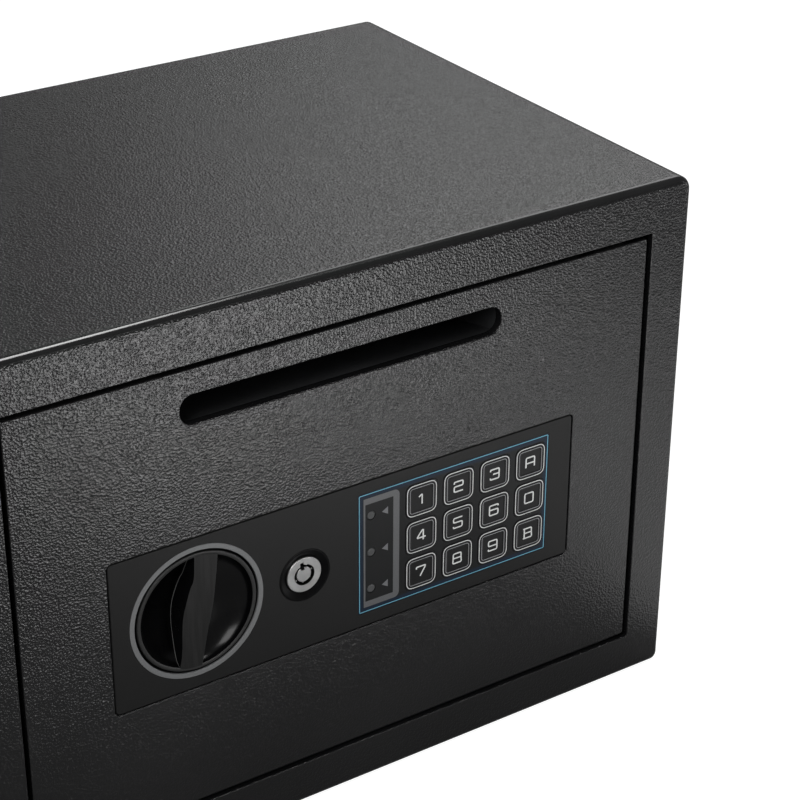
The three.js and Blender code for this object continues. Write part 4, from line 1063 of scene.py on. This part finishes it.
def blank_key():
    """One key at the middle of the front: its film edge, printed outlines and pressed-in face."""
    x0, x1, d0, d1, _, _ = cad_box("key_0")
    half = (x1 - x0) / 2
    cap = pad("blank_key", -half, half, d0, d1, -half, half, radius=3.2, steps=8)
    pick_faces(cap, lambda centre, normal: normal.y < -0.99)
    rim, slope, edge = 2.5, 0.35, 0.3
    bpy.ops.mesh.inset(thickness=rim * MM, depth=0)
    bpy.ops.mesh.inset(thickness=slope * MM, depth=-KEY_DISH * MM)
    bpy.ops.mesh.inset(thickness=edge * MM, depth=0)
    bpy.ops.object.mode_set(mode="OBJECT")
    round_edges(cap, lies_at(d0), radius=0.12, steps=2)
    smooth(cap, angle=25)
    outer_half, inner_half, inner_width = half - 0.6, half - 2.0, 0.3
    outer = printed("outer", [square_path(outer_half, outer_half, 3.4)], INK_WIDTH, 0, 0, d0, closed=True)
    inner = printed("inner", [square_path(inner_half, inner_half, 1.5)], inner_width, 0, 0, d0, closed=True)
    return cap, outer, inner


def keys():
    cap, outer, inner = blank_key()
    _, _, d0, _, _, _ = cad_box("key_0")
    half_wide, half_high, stroke_width, bend = 2.3, 2.45, 0.72, 0.75
    for name in KEY_NAMES:
        x, z = centre_of(name)
        mark = name[4:]
        key = copy_of(cap, "cap_" + mark, x, z)
        key.data.materials.clear()
        key.data.materials.append(KEY)
        edge = copy_of(outer, "edge", x, z)
        edge.data.materials.append(WHITE_INK)
        line = copy_of(inner, "line", x, z)
        line.data.materials.append(PALE_INK)
        strokes = [
            rounded_path([(u * half_wide, v * half_high) for u, v in stroke], bend) for stroke in GLYPHS[mark]
        ]
        figure = printed("figure", strokes, stroke_width, x, z, d0 + KEY_DISH)
        figure.data.materials.append(WHITE_INK)
        join(key, edge, line, figure)
        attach(key, name)
        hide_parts(name)
    for spare in (cap, outer, inner):
        bpy.data.objects.remove(spare)


# The steelwork behind the door that shows when it stands open


def bolts():
    for name in ("locking_bolt_bottom", "locking_bolt_top"):
        x0, x1, d0, d1, z0, z1 = cad_box(name)
        radius = (z1 - z0) / 2
        pin = bar_x("live_" + name[8:], x0, x1, (d0 + d1) / 2, (z0 + z1) / 2, radius, 96)
        round_edges(pin, lambda a, b: a[0] < x0 + NEAR and b[0] < x0 + NEAR, radius=1.2, steps=5)
        finish(smooth(pin), BRIGHT, "bolt_carriage", "bright_steel", name)


def hinge_bar():
    x0, x1, d0, d1, z0, z1 = cad_box("hinge_rod")
    rod = bar_z("hinge_bar", z0, z1, (x0 + x1) / 2, (d0 + d1) / 2, (x1 - x0) / 2, 64)
    soften(rod, width=0.5, steps=3)
    finish(rod, ZINC, "door", "zinc_steel", "hinge_rod")


def carried_over():
    """The CAD's own pieces, which stay as they are."""
    looks = {
        INNER_PAINT: [
            "door_stop_frame", "hinge_lug_top", "hinge_lug_bottom", "hinge_block_top", "hinge_block_bottom",
            "slot_chute", "chute_hood", "backing_pan", "bolt_guide", "mechanism_cover",
        ],
        ZINC: [
            "lock_nut", "carriage_stud_bottom", "carriage_stud_top", "solenoid_frame", "solenoid_spring",
            "cover_screw_left", "cover_screw_right", "knob_spindle", "crank_lever", "bolt_carriage",
            "lock_cam", "lift_bar",
        ],
        BRIGHT: ["solenoid_plunger"],
        BRASS: ["spindle_bush"],
        BOARD: ["keypad_board"],
        COIL: ["solenoid_coil"],
        TRAY: ["battery_tray", "battery_hatch", "reset_switch"],
        CELL: ["battery_pack"],
        FELT: ["floor_mat"],
        RED: ["reset_button"],
        LEAD: ["wire_harness"],
    }
    for material, nodes in looks.items():
        for node in nodes:
            dress(node, material)


# The room: a pale floor, soft lamps and the camera


def light_path(tree):
    """Whether the floor or sky is seen directly or through glass, and whether it is seen as a reflection."""
    path = tree.nodes.new("ShaderNodeLightPath")
    seen = Wire(tree, path.outputs["Is Camera Ray"]).most(Wire(tree, path.outputs["Is Transmission Ray"]))
    return seen, Wire(tree, path.outputs["Is Glossy Ray"])


def floor_and_sky():
    clear()
    just_below = -0.2 * MM
    bpy.ops.mesh.primitive_plane_add(size=14, location=(0, 0, just_below))
    floor = settle(bpy.context.object, "floor")
    look = bpy.data.materials.new("pale_floor")
    look.use_nodes = True
    tree = look.node_tree
    shader = tree.nodes["Principled BSDF"]
    shader.inputs["Base Color"].default_value = grey(0.2)
    shader.inputs["Roughness"].default_value = 0.9
    shader.inputs["Emission Color"].default_value = grey(1)
    seen, mirrored = light_path(tree)
    tree.links.new((seen * 0.92 + mirrored * 0.03).socket, shader.inputs["Emission Strength"])
    floor.data.materials.append(look)

    world = bpy.data.worlds.new("studio")
    world.use_nodes = True
    bpy.context.scene.world = world
    tree = world.node_tree
    sky = tree.nodes["Background"]
    sky.inputs["Color"].default_value = grey(1)
    seen, _ = light_path(tree)
    tree.links.new((0.22 + seen * 0.78).socket, sky.inputs["Strength"])


def lamp(name, spot, target, size, power):
    """A soft rectangular lamp that faces its target."""
    light = bpy.data.lights.new(name, "AREA")
    light.shape = "RECTANGLE"
    light.size, light.size_y = size
    light.energy = power
    holder = bpy.data.objects.new(name, light)
    bpy.context.collection.objects.link(holder)
    holder.location = spot
    aim = Vector(target) - Vector(spot)
    holder.rotation_euler = aim.to_track_quat("-Z", "Y").to_euler()


def glow(name, x, y, size, power):
    """A soft patch of light on the floor, which the front of the safe mirrors."""
    lamp(name, (x, y, 3 * MM), (x, y, 1), size, power)


def camera():
    """The photograph's viewpoint, found from the safe's own straight edges."""
    data = bpy.data.cameras.new("camera")
    data.sensor_width = 36
    focal_pixels, picture_width = 2210.722, 800
    data.lens = focal_pixels / picture_width * data.sensor_width
    data.shift_x = -0.0019
    data.shift_y = 0.0019
    eye = bpy.data.objects.new("camera", data)
    bpy.context.collection.objects.link(eye)
    right = Vector((0.8311829, -0.5559616, 0.0064548))
    down = Vector((-0.2571009, -0.3946171, -0.8821431))
    ahead = Vector((0.4929849, 0.7315627, -0.4709372))
    turn = Matrix((right, -down, -ahead)).transposed()
    eye.matrix_world = Matrix.Translation((-0.425854, -0.792678, 0.615012)) @ turn.to_4x4()
    data.clip_start = 0.01
    data.clip_end = 50
    bpy.context.scene.camera = eye


cabinet_tube()
rear_plate()
front_frame()
door_skin()
panel_face()
ring_trim()
knob_dish()
knob_grip()
lock_surround()
lock_face()
lock_core()
keypad_film()
film_prints()
lamp_lenses()
keys()
bolts()
hinge_bar()
carried_over()

floor_and_sky()
lamp("key_lamp", (-1.3, -1.0, 1.5), (0, -0.1, 0.15), (1.2, 1.2), 22)
lamp("back_lamp", (1.3, 1.2, 1.3), (0, 0, 0.2), (1.2, 0.8), 5.8)
glow("left_glow", 0.15, -0.65, (0.3, 0.42), 2.8)
glow("right_glow", 0.4, -0.27, (0.42, 0.26), 0.27)
lamp("corner_lamp", (0.9, -0.55, 0.2), (0.15, -0.12, 0.24), (0.07, 0.07), 0.5)
lamp("edge_lamp", (0.38, -0.1, 1.6), (0.38, -0.1, 0), (0.34, 0.8), 12)
camera()

bpy.context.scene.view_settings.view_transform = "Standard"
